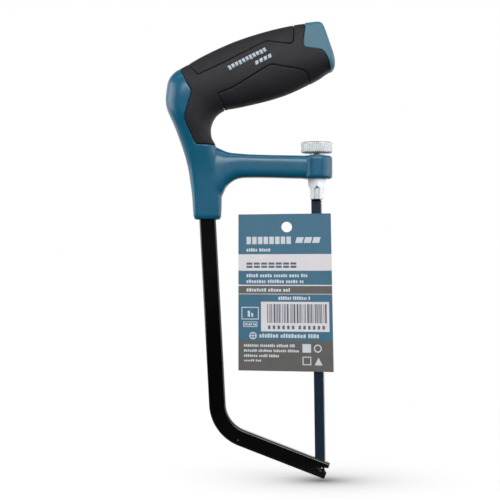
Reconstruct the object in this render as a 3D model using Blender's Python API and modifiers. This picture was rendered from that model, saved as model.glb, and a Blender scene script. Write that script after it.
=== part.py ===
"""Mini hacksaw with a soft-grip handle, a square tube frame, a 150 mm pinned blade and a folded card tag.

The saw stands in the XZ plane as it is drawn: +Z up with the handle on top, +X towards the blade's
teeth, and Y across its thickness. The origin is the middle of the bottom of its bounding box.
Lengths here are millimetres, and MM turns them into metres where a mesh is made.
"""

import math

import bmesh
import bpy
from mathutils import Matrix, Vector

MM = 0.001
GAP = 0.3  # left between solids that touch on the real saw
REACH = 40.0  # half the length of a cutter that passes right through the thickness
MARGIN = 1.0  # how far a cutter passes the surface it trims
BELOW_ROD = 140.0  # heights that a cutter of the rod, the nut or the boss starts and ends at
BELOW_BORE = 160.0
ABOVE_NUT = 190.0

# Tension rod, nut and boss, all on one upright axis
ROD_X = 35.4
BOSS_RADIUS = 8.2
BOSS_BOTTOM = 158.5
BOSS_TOP = 170.7
BOSS_EDGE = 1.3
SHANK_ACROSS_CORNERS = 9.6
SHANK_TOP = 165.9
SHANK_BOTTOM = 154.8
ROD_END_RADIUS = 3.5
ROD_END_TOP = 153.2
ROD_BOTTOM = 147.5
THREAD_RADIUS = 2.4
THREAD_TOP = 177.0
WASHER_RADIUS = 5.2
WASHER_BOTTOM = 169.5
WASHER_THICKNESS = 0.9
NUT_RADIUS = 8.45
NUT_BOTTOM = 172.0
NUT_TOP = 177.9
NUT_CHAMFER = 0.6
NUT_RIBS = 48
RIB_DEPTH = 0.35
COLLAR_RADIUS = 3.9

# Blade and its pins: (X, Z) of the two pin axes
UPPER_PIN = (34.95, 149.7)
LOWER_PIN = (37.0, 5.3)
PIN_RADIUS = 0.8
UPPER_PIN_LENGTH = 4.0
LOWER_PIN_LENGTH = 8.6
BLADE_END = 2.8  # beyond each pin's axis
BLADE_WIDTH = 5.8
BLADE_BACK = 2.6  # from the pins' axis to the back edge
BLADE_THICKNESS = 0.65
TOOTH_PITCH = 25.4 / 24
TOOTH_DEPTH = 0.7
TOOTHLESS_END = 5.0
BLADE_SLOT = 1.3

# Frame tube: a square section bent once, between the socket and the nose
TUBE_HALF = 4.4
TUBE_CORNER = 1.3
TUBE_WALL = 1.3
TUBE_TOP = (-23.6, 158.0)
TUBE_CORNER_POINT = (-16.56, 26.23)
NOSE_CENTRE = (40.45, 4.13)
BEND_RADIUS = 20.0
BEND_STEPS = 10
NOSE_SLOT_LENGTH = 9.5
NOTCH_SLOPE = math.radians(9.0)
NOTCH_HALF = 1.05

# Handle: where the socket, the core bar and the pads end
SOCKET_BOTTOM = 136.8
CORE_HALF_HEIGHT = 6.0
CORE_HALF_WIDTH = 4.6
PAD_DEPTH = 2.0
CORE_STEPS = 2
TENON_HALF_WIDTH = 1.6
TENON_HALF_HEIGHT = 3.2
TENON_BACK = 4.5
TENON_FRONT = 13.5
TENON_SLOPE = math.radians(17.8)
CAP_PIN_AT = (22.2, 222.4)
CAP_PIN_RADIUS = 1.2
SOCKET_PIN_RADIUS = 1.5
SOCKET_PIN_HEIGHTS = (143.5, 151.5)
SOCKET_PIN_DEPTH = 0.6  # how far a socket pin reaches inside the tube's back wall
SOCKET_PIN_END = 7.4
SOCKET_HOLE_END = 12.0

# Card tag: the four corners of the folded card, and the hole it hangs by on a shop peg
TAG_CORNERS = ((-6.2, 57.0), (44.3, 56.1), (42.8, 140.1), (-6.2, 139.5))
CARD_THICKNESS = 0.4
CARD_INNER = 0.65  # from the mid plane to a leaf's inner face
HANG_HOLE = (19.4, 132.9)
HANG_HOLE_RADIUS = 2.8
GLUE_STRIP = (-5.4, 60.0, 3.2, 76.0)

# The handle's loop as stations (outer edge X, Z; inner edge X, Z; half thickness; squareness),
# from the front end of the grip, round the back of the hand and down to the tube socket
LOOP_STATIONS = (
    (41.8, 231.5, 44.3, 224.6, 4.0, 2.6),
    (40.2, 235.4, 44.9, 220.8, 8.0, 2.8),
    (38.5, 239.6, 44.8, 217.3, 10.8, 3.0),
    (37.0, 241.2, 43.6, 215.6, 12.0, 3.0),
    (34.5, 241.4, 41.0, 214.2, 12.6, 3.0),
    (28.5, 240.7, 36.5, 211.0, 13.0, 2.8),
    (21.0, 239.6, 30.0, 207.6, 13.5, 2.6),
    (10.7, 237.3, 21.0, 203.4, 14.0, 2.5),
    (0.3, 234.3, 11.6, 200.2, 14.0, 2.5),
    (-9.0, 231.0, 2.5, 197.9, 14.0, 2.5),
    (-18.0, 227.1, -6.0, 196.0, 13.8, 2.5),
    (-26.6, 222.8, -12.5, 194.8, 13.5, 2.5),
    (-34.2, 218.3, -16.5, 192.6, 13.2, 2.5),
    (-40.0, 215.0, -18.6, 190.2, 12.8, 2.5),
    (-43.4, 210.6, -20.0, 187.3, 12.4, 2.6),
    (-44.6, 204.6, -20.6, 184.6, 12.0, 2.6),
    (-44.9, 199.2, -20.5, 182.0, 11.6, 2.7),
    (-43.7, 194.0, -20.0, 179.6, 11.0, 2.8),
    (-40.6, 187.0, -18.2, 176.4, 10.2, 2.9),
    (-38.0, 180.2, -16.8, 172.0, 9.4, 3.1),
    (-35.5, 173.0, -15.8, 166.0, 8.8, 3.4),
    (-33.25, 164.9, -15.2, 159.5, 8.2, 3.8),
    (-31.8, 156.5, -15.0, 152.5, 7.9, 4.4),
    (-30.8, 148.5, -14.8, 146.5, 7.7, 5.0),
    (-30.3, 141.0, -15.0, 140.4, 7.6, 5.6),
    (-30.0, 138.2, -15.2, 138.1, 7.5, 5.6),
    (-29.2, SOCKET_BOTTOM, -16.0, SOCKET_BOTTOM, 6.8, 5.6),
)
LOOP_STEPS = 2
CORE_FIRST = 5  # the station by the end cap's seam where the core bar starts
CORE_LAST = 19  # the station inside the spine where it ends

# The arm to the boss, as stations from inside the spine to the rod's axis
ARM_STATIONS = (
    (-27.5, 175.0, -24.0, 146.0, 7.9, 3.6),
    (-22.5, 175.7, -18.5, 146.5, 7.9, 3.6),
    (-18.0, 175.3, -15.4, 146.8, 7.8, 3.6),
    (-15.2, 173.9, -14.0, 151.2, 7.4, 3.6),
    (-12.4, 172.6, -12.0, 154.6, 7.1, 3.6),
    (-9.6, 172.0, -9.0, 157.1, 6.8, 3.6),
    (-5.4, 171.6, -5.4, 158.6, 6.5, 3.6),
    (1.0, 171.2, 0.5, 159.0, 6.3, 3.6),
    (12.0, 170.9, 12.0, 158.9, 6.3, 3.6),
    (24.0, 170.7, 24.0, 158.6, 6.3, 3.6),
    (ROD_X, 170.5, ROD_X, 158.5, 6.3, 3.6),
)

# Seams on the side of the handle (X, Z)
REAR_SEAM = (
    (-39.4, 221.0),
    (-36.9, 215.9),
    (-33.2, 208.4),
    (-31.1, 204.9),
    (-30.8, 203.2),
    (-32.3, 198.3),
    (-34.4, 190.7),
    (-34.1, 188.4),
    (-29.6, 178.4),
    (-29.1, 177.0),
    (-27.5, 176.2),
    (-17.9, 176.2),
    (-10.0, 176.2),
)
FRONT_SEAM = (
    (29.0, 246.0),
    (28.7, 236.0),
    (27.8, 230.4),
    (27.7, 228.2),
    (28.9, 226.7),
    (36.0, 225.9),
    (37.6, 225.4),
    (39.4, 223.7),
    (40.9, 221.1),
    (42.2, 215.8),
    (43.2, 209.0),
)
PALM_PAD = (
    (-36.4, 223.5),
    (-32.6, 218.8),
    (-27.4, 212.4),
    (-13.5, 218.9),
    (7.9, 230.0),
    (9.4, 230.2),
    (20.3, 228.6),
    (22.2, 228.9),
    (22.6, 230.5),
    (23.1, 246.0),
)
FINGER_PAD = (
    (-10.0, 188.0),
    (-13.4, 194.5),
    (-13.9, 196.9),
    (-16.7, 201.8),
    (-16.4, 202.5),
    (-9.0, 205.5),
    (-4.6, 208.1),
    (8.9, 216.5),
    (11.3, 217.5),
    (26.6, 215.0),
    (27.9, 214.5),
    (30.2, 212.8),
    (31.2, 208.8),
    (32.5, 202.0),
)


def material(name, colour, roughness, metallic=0.0):
    made = bpy.data.materials.new(name)
    made.use_nodes = True
    shader = made.node_tree.nodes["Principled BSDF"]
    shader.inputs["Base Color"].default_value = (*colour, 1.0)
    shader.inputs["Roughness"].default_value = roughness
    shader.inputs["Metallic"].default_value = metallic
    return made


def clear_scene():
    for obj in list(bpy.data.objects):
        bpy.data.objects.remove(obj)


def collection(name, hidden=False):
    made = bpy.data.collections.new(name)
    bpy.context.scene.collection.children.link(made)
    made.hide_render = hidden
    return made


clear_scene()
PARTS = collection("hacksaw")
CUTTERS = collection("hacksaw_cutters", hidden=True)
BLUE_PAINT = material("blue_paint", (0.012, 0.105, 0.175), 0.38)
BLUE_CAP = material("blue_cap", (0.03, 0.13, 0.19), 0.35)
GRIP_BLACK = material("grip_black", (0.028, 0.025, 0.027), 0.62)
PAD_BLACK = material("pad_black", (0.022, 0.020, 0.022), 0.75)
BLACK_ENAMEL = material("black_enamel", (0.004, 0.004, 0.005), 0.18)
ZINC_PLATE = material("zinc_plate", (0.80, 0.81, 0.80), 0.24, 1.0)
PIN_STEEL = material("pin_steel", (0.45, 0.46, 0.48), 0.35, 1.0)
BLADE_BLUE = material("blade_blue", (0.010, 0.022, 0.042), 0.42, 0.3)
CARD = material("card", (0.10, 0.22, 0.28), 0.55)
GLUE = material("glue", (0.75, 0.74, 0.68), 0.5)


def as_object(name, mesh, look=None):
    """Adds the mesh to the scene: a part where it has a look, and otherwise a cutter."""
    obj = bpy.data.objects.new(name, mesh)
    if look is None:
        CUTTERS.objects.link(obj)
        obj.hide_render = True
        obj.display_type = "WIRE"
    else:
        PARTS.objects.link(obj)
        mesh.materials.clear()
        mesh.materials.append(look)
    return obj


def from_bmesh(name, bm, look=None):
    bmesh.ops.recalc_face_normals(bm, faces=bm.faces)
    mesh = bpy.data.meshes.new(name)
    bm.to_mesh(mesh)
    bm.free()
    return as_object(name, mesh, look)


def box(name, low, high, look=None):
    bm = bmesh.new()
    bmesh.ops.create_cube(bm, size=1.0)
    low, high = Vector(low), Vector(high)
    bmesh.ops.scale(bm, vec=(high - low) * MM, verts=bm.verts)
    bmesh.ops.translate(bm, vec=(low + high) / 2 * MM, verts=bm.verts)
    return from_bmesh(name, bm, look)


def cylinder(name, radius, start, end, look=None, segments=32):
    """A cylinder between two points."""
    start, end = Vector(start), Vector(end)
    run = end - start
    bm = bmesh.new()
    bmesh.ops.create_cone(
        bm,
        cap_ends=True,
        segments=segments,
        radius1=radius * MM,
        radius2=radius * MM,
        depth=run.length * MM,
    )
    turn = run.to_track_quat("Z", "Y").to_matrix().to_4x4()
    place = Matrix.Translation((start + end) / 2 * MM) @ turn
    bmesh.ops.transform(bm, matrix=place, verts=bm.verts)
    return from_bmesh(name, bm, look)


def turned(name, profile, axis_x, look=None, steps=48):
    """A solid of revolution about the upright line at axis_x, its (radius, height) profile given top first."""
    mesh = bpy.data.meshes.new(name)
    points = [(radius * MM, 0.0, height * MM) for radius, height in profile]
    edges = [(i, i + 1) for i in range(len(points) - 1)]
    mesh.from_pydata(points, edges, [])
    obj = as_object(name, mesh, look)
    obj.location.x = axis_x * MM
    obj.rotation_euler.z = math.pi / steps
    screw = obj.modifiers.new("turn", "SCREW")
    screw.steps = steps
    screw.render_steps = steps
    screw.use_merge_vertices = True
    screw.merge_threshold = 0.00001
    return obj


def flat_outline(name, points, half_thickness, look=None):
    """A closed (X, Z) outline filled and extruded to both sides of the mid plane."""
    curve = bpy.data.curves.new(name, "CURVE")
    curve.dimensions = "2D"
    curve.fill_mode = "BOTH"
    curve.extrude = half_thickness * MM
    spline = curve.splines.new("POLY")
    spline.points.add(len(points) - 1)
    for point, (x, z) in zip(spline.points, points):
        point.co = (x * MM, z * MM, 0.0, 1.0)
    spline.use_cyclic_u = True
    drawn = bpy.data.objects.new(name + "_curve", curve)
    PARTS.objects.link(drawn)
    drawn.rotation_euler.x = math.pi / 2
    bpy.context.view_layer.update()
    graph = bpy.context.evaluated_depsgraph_get()
    mesh = bpy.data.meshes.new_from_object(drawn.evaluated_get(graph))
    mesh.transform(drawn.matrix_world)
    bm = bmesh.new()
    bm.from_mesh(mesh)
    bmesh.ops.remove_doubles(bm, verts=bm.verts, dist=0.000001)
    bpy.data.objects.remove(drawn)
    bpy.data.meshes.remove(mesh)
    return from_bmesh(name, bm, look)


def combine(obj, other, operation):
    step = obj.modifiers.new(operation.lower() + "_" + other.name, "BOOLEAN")
    step.operation = operation
    step.object = other
    return obj


def cut(obj, other):
    return combine(obj, other, "DIFFERENCE")


def join(obj, other):
    return combine(obj, other, "UNION")


def keep_inside(obj, other):
    return combine(obj, other, "INTERSECT")


def bevel(obj, width, segments=2, angle=math.radians(40)):
    step = obj.modifiers.new("bevel", "BEVEL")
    step.width = width * MM
    step.segments = segments
    step.limit_method = "ANGLE"
    step.angle_limit = angle
    return obj


def smooth(obj, angle=math.radians(35)):
    obj.data.shade_smooth()
    obj.data.set_sharp_from_angle(angle=angle)
    return obj


def along(before, here, there, after, t):
    """The Catmull-Rom blend between here and there."""
    return tuple(
        b + 0.5 * t * (c - a + t * (2 * a - 5 * b + 4 * c - d + t * (3 * (b - c) + d - a)))
        for a, b, c, d in zip(before, here, there, after)
    )


def smoothed(stations, steps):
    """The stations with steps - 1 more between each two, on a smooth curve through them all."""
    last = len(stations) - 1
    found = []
    for i in range(last):
        near = [stations[min(max(i + k, 0), last)] for k in (-1, 0, 1, 2)]
        found += [along(*near, step / steps) for step in range(steps)]
    return found + [stations[last]]


def power(value, exponent):
    return math.copysign(abs(value) ** exponent, value)


def section(station, shrink, points=24):
    """One ring of a loft: a rounded section between a station's two edges, made smaller by shrink."""
    ax, az, bx, bz, half_width, squareness = station
    middle = Vector(((ax + bx) / 2, 0.0, (az + bz) / 2))
    half = Vector(((ax - bx) / 2, 0.0, (az - bz) / 2))
    half *= (half.length - shrink) / half.length
    ring = []
    for k in range(points):
        turn = 2 * math.pi * (k + 0.5) / points
        across = power(math.cos(turn), 2 / squareness)
        out = power(math.sin(turn), 2 / squareness)
        side = Vector((0.0, (half_width - shrink) * out, 0.0))
        ring.append(middle + half * across + side)
    return ring


def loft(name, rings, look=None):
    """A closed solid through rings of equal numbers of points."""
    bm = bmesh.new()
    rows = [[bm.verts.new(point * MM) for point in ring] for ring in rings]
    for one, two in zip(rows, rows[1:]):
        for k in range(len(one)):
            n = (k + 1) % len(one)
            bm.faces.new((one[k], one[n], two[n], two[k]))
    bm.faces.new(rows[0])
    bm.faces.new(reversed(rows[-1]))
    return from_bmesh(name, bm, look)


def handle_loop(name, shrink=0.0, look=None):
    """The whole handle loop from the end cap to the socket, smaller all round by shrink."""
    stations = smoothed(LOOP_STATIONS, LOOP_STEPS)
    first = 1 if shrink else 0
    return loft(name, [section(station, shrink) for station in stations[first:]], look)


def offset(points, distance):
    """An open outline moved sideways, to the left of its direction for a positive distance."""
    points = [Vector(point) for point in points]
    moved = []
    for i, point in enumerate(points):
        before = (point - points[i - 1]).normalized() if i else None
        after = (points[i + 1] - point).normalized() if i < len(points) - 1 else before
        before = before or after
        normals = [Vector((-d.y, d.x)) for d in (before, after)]
        mean = (normals[0] + normals[1]).normalized()
        moved.append(tuple(point + mean * distance / max(mean.dot(normals[0]), 0.5)))
    return moved


def black_region():
    """The outline that the moulded grip fills, as seen from the side."""
    gap_side = ((-6.0, 176.2), (2.0, 186.0), (46.0, 190.0))
    top_side = ((29.0, 252.0), (-45.0, 252.0))
    return list(REAR_SEAM) + list(gap_side) + list(reversed(FRONT_SEAM)) + list(top_side)


def blue_region():
    """The outline of the bare casting behind and below the grip's seam."""
    seam = offset(REAR_SEAM, -GAP)
    return seam + [(-10.0, 130.0), (-60.0, 130.0), (-60.0, 225.0)]


def cap_region():
    seam = offset(FRONT_SEAM, GAP)
    return seam + [(60.0, 209.0), (60.0, 246.0)]


def make_core(name, grow):
    """The bar inside the grip, along the middle of the handle's loop, bigger all round by grow."""
    rings = []
    for ax, az, bx, bz, _, _ in smoothed(LOOP_STATIONS[CORE_FIRST : CORE_LAST + 1], CORE_STEPS):
        middle = Vector(((ax + bx) / 2, 0.0, (az + bz) / 2))
        half = Vector(((ax - bx) / 2, 0.0, (az - bz) / 2)).normalized() * (CORE_HALF_HEIGHT + grow)
        side = Vector((0.0, CORE_HALF_WIDTH + grow, 0.0))
        rings.append([middle + half + side, middle + half - side, middle - half - side, middle - half + side])
    return loft(name, rings)


def make_boss(name):
    boss = cylinder(name, BOSS_RADIUS, (ROD_X, 0, BOSS_BOTTOM), (ROD_X, 0, BOSS_TOP), segments=40)
    return bevel(boss, BOSS_EDGE)


def rod_shank_cutter():
    """The square hole in the boss, corner to the front, that stops the rod from turning."""
    radius = SHANK_ACROSS_CORNERS / 2 + GAP * math.sqrt(2)
    top = SHANK_TOP + 2 * GAP
    return cylinder("shank_hole", radius, (ROD_X, 0, BOSS_BOTTOM - MARGIN), (ROD_X, 0, top), segments=4)


def rod_hole_cutter():
    """The round hole for the rod's thread, with the washer's recess at its top."""
    recess = WASHER_RADIUS + GAP
    hole = THREAD_RADIUS + GAP
    floor = WASHER_BOTTOM - GAP
    profile = (
        (0.0, ABOVE_NUT),
        (recess, ABOVE_NUT),
        (recess, floor),
        (hole, floor),
        (hole, BELOW_BORE),
        (0.0, BELOW_BORE),
    )
    return turned("rod_hole", profile, ROD_X)


def tenon_box(name, grow):
    """The end cap's tenon, along the core bar at its front end, bigger all round by grow."""
    low = (-TENON_BACK - grow, -TENON_HALF_WIDTH - grow, -TENON_HALF_HEIGHT - grow)
    high = (TENON_FRONT + grow, TENON_HALF_WIDTH + grow, TENON_HALF_HEIGHT + grow)
    place = Matrix.Translation(Vector((CAP_PIN_AT[0], 0.0, CAP_PIN_AT[1])) * MM)
    return in_frame(box(name, low, high), place @ Matrix.Rotation(-TENON_SLOPE, 4, "Y"))


def cap_pin_cutter(name, grow):
    x, z = CAP_PIN_AT
    reach = CORE_HALF_WIDTH + MARGIN
    return cylinder(name, CAP_PIN_RADIUS + grow, (x, -reach, z), (x, reach, z), segments=20)


def make_handle():
    """The casting: spine, arm, boss and socket in one piece, with the core bar inside the grip."""
    casting = handle_loop("handle_casting", look=BLUE_PAINT)
    keep_inside(casting, flat_outline("blue_area", blue_region(), REACH))
    join(casting, make_core("core", 0.0))
    arm = loft("arm", [section(station, 0.0) for station in smoothed(ARM_STATIONS, LOOP_STEPS)])
    join(casting, arm)
    join(casting, make_boss("boss"))
    cut(casting, rod_shank_cutter())
    cut(casting, rod_hole_cutter())
    cut(casting, tube_band("tube_socket", TUBE_HALF + GAP, TUBE_HALF + GAP, GAP, 0.0))
    for index, height in enumerate(SOCKET_PIN_HEIGHTS):
        cut(casting, socket_pin(f"socket_pin_hole_{index}", height, GAP, SOCKET_HOLE_END))
    cut(casting, tenon_box("tenon_slot", GAP))
    cut(casting, cap_pin_cutter("cap_pin_bore", GAP))
    return smooth(casting)


def make_end_cap():
    cap = handle_loop("end_cap", look=BLUE_CAP)
    keep_inside(cap, flat_outline("cap_area", cap_region(), REACH))
    cut(cap, make_core("cap_pocket", GAP))
    join(cap, tenon_box("tenon", 0.0))
    cut(cap, cap_pin_cutter("tenon_bore", GAP))
    return smooth(cap)


def pad_pocket(name, region):
    """What is cut from the grip for a pad: the pad's outline down to its depth."""
    grown = flat_outline(name, region, REACH)
    return cut(grown, handle_loop(name + "_floor", PAD_DEPTH + GAP))


def make_grip():
    grip = handle_loop("grip_sleeve", look=GRIP_BLACK)
    keep_inside(grip, flat_outline("grip_area", black_region(), REACH))
    cut(grip, pad_pocket("palm_pocket", offset(PALM_PAD, -GAP)))
    cut(grip, pad_pocket("finger_pocket", offset(FINGER_PAD, GAP)))
    cut(grip, make_core("core_bore", GAP))
    cut(grip, tenon_box("tenon_bore_in_grip", GAP))
    return smooth(grip)


def make_pad(name, outline):
    pad = handle_loop(name, look=PAD_BLACK)
    keep_inside(pad, flat_outline(name + "_area", outline, REACH))
    cut(pad, handle_loop(name + "_inside", PAD_DEPTH))
    return smooth(pad)


def make_cap_pin():
    x, z = CAP_PIN_AT
    half = CORE_HALF_WIDTH - GAP
    return smooth(cylinder("cap_pin", CAP_PIN_RADIUS, (x, -half, z), (x, half, z), PIN_STEEL, 20))


def tube_edges(half_width, extra_top, extra_nose):
    """The two long edges of the bent tube's side view, from the socket to the nose."""
    top, corner, nose = (Vector(point) for point in (TUBE_TOP, TUBE_CORNER_POINT, NOSE_CENTRE))
    down = (corner - top).normalized()
    out = (nose - corner).normalized()
    top = top - down * extra_top
    nose = nose + out * extra_nose
    turn = down.angle(out)
    tangent = BEND_RADIUS * math.tan(turn / 2)
    start = corner - down * tangent
    inward = Vector((-down.y, down.x))
    centre = start + inward * BEND_RADIUS
    edges = []
    for side in (-1, 1):
        edge = [top + inward * half_width * side]
        for k in range(BEND_STEPS + 1):
            spoke = Matrix.Rotation(turn * k / BEND_STEPS, 2) @ (-inward)
            edge.append(centre + spoke * (BEND_RADIUS - half_width * side))
        edge.append(nose + Vector((-out.y, out.x)) * half_width * side)
        edges.append(edge)
    return edges


def tube_band(name, half_width, half_thickness, extra_top, extra_nose, look=None):
    outer, inner = tube_edges(half_width, extra_top, extra_nose)
    outline = [tuple(point) for point in outer + inner[::-1]]
    return flat_outline(name, outline, half_thickness, look)


def nose_frame():
    """A matrix whose origin is the middle of the nose's end face and whose X runs out of the tube."""
    out = (Vector(NOSE_CENTRE) - Vector(TUBE_CORNER_POINT)).normalized()
    x_axis = Vector((out.x, 0.0, out.y))
    z_axis = Vector((-out.y, 0.0, out.x))
    turn = Matrix((x_axis, Vector((0, 1, 0)), z_axis)).transposed().to_4x4()
    return Matrix.Translation(Vector((NOSE_CENTRE[0], 0, NOSE_CENTRE[1])) * MM) @ turn


def in_frame(obj, frame):
    obj.data.transform(frame)
    return obj


def notch_cutter():
    """The open slot from the nose's end face to the lower pin, sloping down towards its mouth."""
    length = 12.0
    notch = box("pin_notch", (0, -REACH, -NOTCH_HALF), (length, REACH, NOTCH_HALF))
    turn = Matrix.Rotation(NOTCH_SLOPE, 4, "Y")
    place = Matrix.Translation(Vector((LOWER_PIN[0], 0, LOWER_PIN[1])) * MM)
    in_frame(notch, place @ turn)
    x, z = LOWER_PIN
    seat = cylinder("pin_seat", NOTCH_HALF, (x, -REACH, z), (x, REACH, z), segments=20)
    return join(notch, seat)


def socket_pin(name, height, grow, end, look=None):
    """A pin driven in from the back of the socket, through its wall and the tube's back wall."""
    top, corner = Vector(TUBE_TOP), Vector(TUBE_CORNER_POINT)
    x = top.x + (height - top.y) * (corner.x - top.x) / (corner.y - top.y)
    start = (x, TUBE_HALF - TUBE_WALL - SOCKET_PIN_DEPTH - grow, height)
    return cylinder(name, SOCKET_PIN_RADIUS + grow, start, (x, end, height), look, 20)


def make_tube():
    trim = 4.0
    tube = tube_band("frame_tube", TUBE_HALF, TUBE_HALF, 0.0, trim, BLACK_ENAMEL)
    bevel(tube, TUBE_CORNER, segments=3)
    inside = TUBE_HALF - TUBE_WALL
    cut(tube, tube_band("tube_bore", inside, inside, -TUBE_WALL, 3 * trim))
    end_plane = box("nose_end", (0, -REACH, -REACH / 2), (REACH, REACH, REACH / 2))
    cut(tube, in_frame(end_plane, nose_frame()))
    half_slot = BLADE_SLOT / 2
    slot = box("blade_slot", (-NOSE_SLOT_LENGTH, -half_slot, -10), (5, half_slot, 10))
    cut(tube, in_frame(slot, nose_frame()))
    cut(tube, notch_cutter())
    for index, height in enumerate(SOCKET_PIN_HEIGHTS):
        cut(tube, socket_pin(f"tube_pin_hole_{index}", height, GAP, SOCKET_HOLE_END))
    return smooth(tube)


def make_socket_pins():
    for name, height in zip(("socket_pin_lower", "socket_pin_upper"), SOCKET_PIN_HEIGHTS):
        smooth(socket_pin(name, height, 0.0, SOCKET_PIN_END, PIN_STEEL))


def make_rod():
    shank_radius = SHANK_ACROSS_CORNERS / 2
    profile = (
        (0.0, THREAD_TOP),
        (THREAD_RADIUS - 0.4, THREAD_TOP),
        (THREAD_RADIUS, THREAD_TOP - 0.4),
        (THREAD_RADIUS, SHANK_TOP + 0.5),
        (shank_radius, SHANK_TOP - 0.6),
        (shank_radius, SHANK_BOTTOM),
        (ROD_END_RADIUS, ROD_END_TOP),
        (ROD_END_RADIUS, ROD_BOTTOM + 0.3),
        (ROD_END_RADIUS - 0.3, ROD_BOTTOM),
        (0.0, ROD_BOTTOM),
    )
    rod = turned("tension_rod", profile, ROD_X, ZINC_PLATE)
    bar = cylinder("square_bar", shank_radius, (ROD_X, 0, BELOW_ROD), (ROD_X, 0, ABOVE_NUT), segments=4)
    keep_inside(rod, bar)
    half_slot = BLADE_SLOT / 2
    slot_top = UPPER_PIN[1] + BLADE_END + 0.9
    cut(rod, box("rod_slot", (ROD_X - BOSS_RADIUS, -half_slot, BELOW_ROD), (ROD_X + BOSS_RADIUS, half_slot, slot_top)))
    x, z = UPPER_PIN
    room = PIN_RADIUS + GAP
    deep = UPPER_PIN_LENGTH / 2 + GAP
    cut(rod, box("pin_pocket", (x - room, -deep, z - room), (ROD_X + BOSS_RADIUS, deep, z + room)))
    return smooth(rod)


def make_nut():
    """The thumb nut: a knurled head and a collar that bears on the washer, bored for the rod."""
    ribs = []
    for k in range(2 * NUT_RIBS):
        radius = NUT_RADIUS - RIB_DEPTH * (k % 2)
        turn = math.pi * k / NUT_RIBS
        ribs.append((radius * math.cos(turn), radius * math.sin(turn)))
    head = flat_outline("thumb_nut", ribs, (NUT_TOP - NUT_BOTTOM) / 2, ZINC_PLATE)
    stand_up = Matrix.Rotation(math.pi / 2, 4, "X")
    place = Matrix.Translation((ROD_X * MM, 0, (NUT_TOP + NUT_BOTTOM) / 2 * MM))
    in_frame(head, place @ stand_up)
    chamfer = (
        (0.0, NUT_TOP + MARGIN),
        (NUT_RADIUS - NUT_CHAMFER - MARGIN, NUT_TOP + MARGIN),
        (NUT_RADIUS + MARGIN, NUT_TOP - NUT_CHAMFER - MARGIN),
        (NUT_RADIUS + MARGIN, NUT_BOTTOM + NUT_CHAMFER + MARGIN),
        (NUT_RADIUS - NUT_CHAMFER - MARGIN, NUT_BOTTOM - MARGIN),
        (0.0, NUT_BOTTOM - MARGIN),
    )
    keep_inside(head, turned("nut_chamfer", chamfer, ROD_X, steps=60))
    collar_bottom = WASHER_BOTTOM + WASHER_THICKNESS + GAP
    join(head, cylinder("collar", COLLAR_RADIUS, (ROD_X, 0, collar_bottom), (ROD_X, 0, NUT_BOTTOM + MARGIN)))
    bore = THREAD_RADIUS + GAP
    cut(head, cylinder("nut_bore", bore, (ROD_X, 0, BELOW_BORE), (ROD_X, 0, ABOVE_NUT)))
    return smooth(head, math.radians(20))


def make_washer():
    top = WASHER_BOTTOM + WASHER_THICKNESS
    inner = THREAD_RADIUS + 2 * GAP
    washer = cylinder(
        "thrust_washer", WASHER_RADIUS, (ROD_X, 0, WASHER_BOTTOM), (ROD_X, 0, top), ZINC_PLATE
    )
    cut(washer, cylinder("washer_hole", inner, (ROD_X, 0, BELOW_BORE), (ROD_X, 0, ABOVE_NUT)))
    return smooth(washer)


def blade_frame():
    """A matrix with its origin on the upper pin, its -Z along the blade and its +X towards the teeth."""
    down = (Vector(LOWER_PIN) - Vector(UPPER_PIN)).normalized()
    z_axis = Vector((-down.x, 0.0, -down.y))
    x_axis = Vector((-down.y, 0.0, down.x))
    turn = Matrix((x_axis, Vector((0, 1, 0)), z_axis)).transposed().to_4x4()
    return Matrix.Translation(Vector((UPPER_PIN[0], 0, UPPER_PIN[1])) * MM) @ turn


def make_blade():
    length = (Vector(LOWER_PIN) - Vector(UPPER_PIN)).length
    top, bottom = BLADE_END, -length - BLADE_END
    back, tips = -BLADE_BACK, BLADE_WIDTH - BLADE_BACK
    gullets = tips - TOOTH_DEPTH
    outline = [(back, top), (back, bottom), (gullets, bottom), (gullets, bottom + TOOTHLESS_END)]
    teeth = int((top - bottom - 2 * TOOTHLESS_END) / TOOTH_PITCH)
    for k in range(teeth):
        root = bottom + TOOTHLESS_END + k * TOOTH_PITCH
        outline.append((tips, root + 0.12 * TOOTH_PITCH))
        outline.append((gullets, root + TOOTH_PITCH))
    outline.append((gullets, top))
    blade = flat_outline("blade", outline, BLADE_THICKNESS / 2, BLADE_BLUE)
    in_frame(blade, blade_frame())
    for name, (x, z) in (("upper_eye", UPPER_PIN), ("lower_eye", LOWER_PIN)):
        eye = cylinder(name, PIN_RADIUS + GAP, (x, -2, z), (x, 2, z), segments=16)
        cut(blade, eye)
    return blade


def make_blade_pins():
    pins = (
        ("upper_blade_pin", UPPER_PIN, UPPER_PIN_LENGTH),
        ("lower_blade_pin", LOWER_PIN, LOWER_PIN_LENGTH),
    )
    for name, (x, z), length in pins:
        pin = cylinder(name, PIN_RADIUS, (x, -length / 2, z), (x, length / 2, z), PIN_STEEL, 20)
        smooth(pin)


def make_tag():
    """The card tag: two leaves joined by the fold at the toothed side of the blade."""
    outside = CARD_INNER + CARD_THICKNESS
    tag = flat_outline("hang_tag", TAG_CORNERS, outside, CARD)
    low_left, low_right, high_right, high_left = (Vector(corner) for corner in TAG_CORNERS)
    fold_low = low_right - Vector((CARD_THICKNESS, 0.0))
    fold_high = high_right - Vector((CARD_THICKNESS, 0.0))
    inside = (
        (low_left.x - 5, low_left.y - 5),
        (fold_low.x, low_right.y - 5),
        tuple(fold_high + (fold_high - fold_low) * 0.06),
        (high_left.x - 5, high_left.y + 6),
    )
    cut(tag, flat_outline("between_leaves", inside, CARD_INNER))
    x, z = HANG_HOLE
    cut(tag, cylinder("hang_hole", HANG_HOLE_RADIUS, (x, -5, z), (x, 5, z)))
    return tag


def make_glue_strip():
    x, z, width, height = GLUE_STRIP
    half = CARD_INNER - GAP
    return box("tag_glue_strip", (x, -half, z), (x + width, half, z + height), GLUE)


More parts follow.
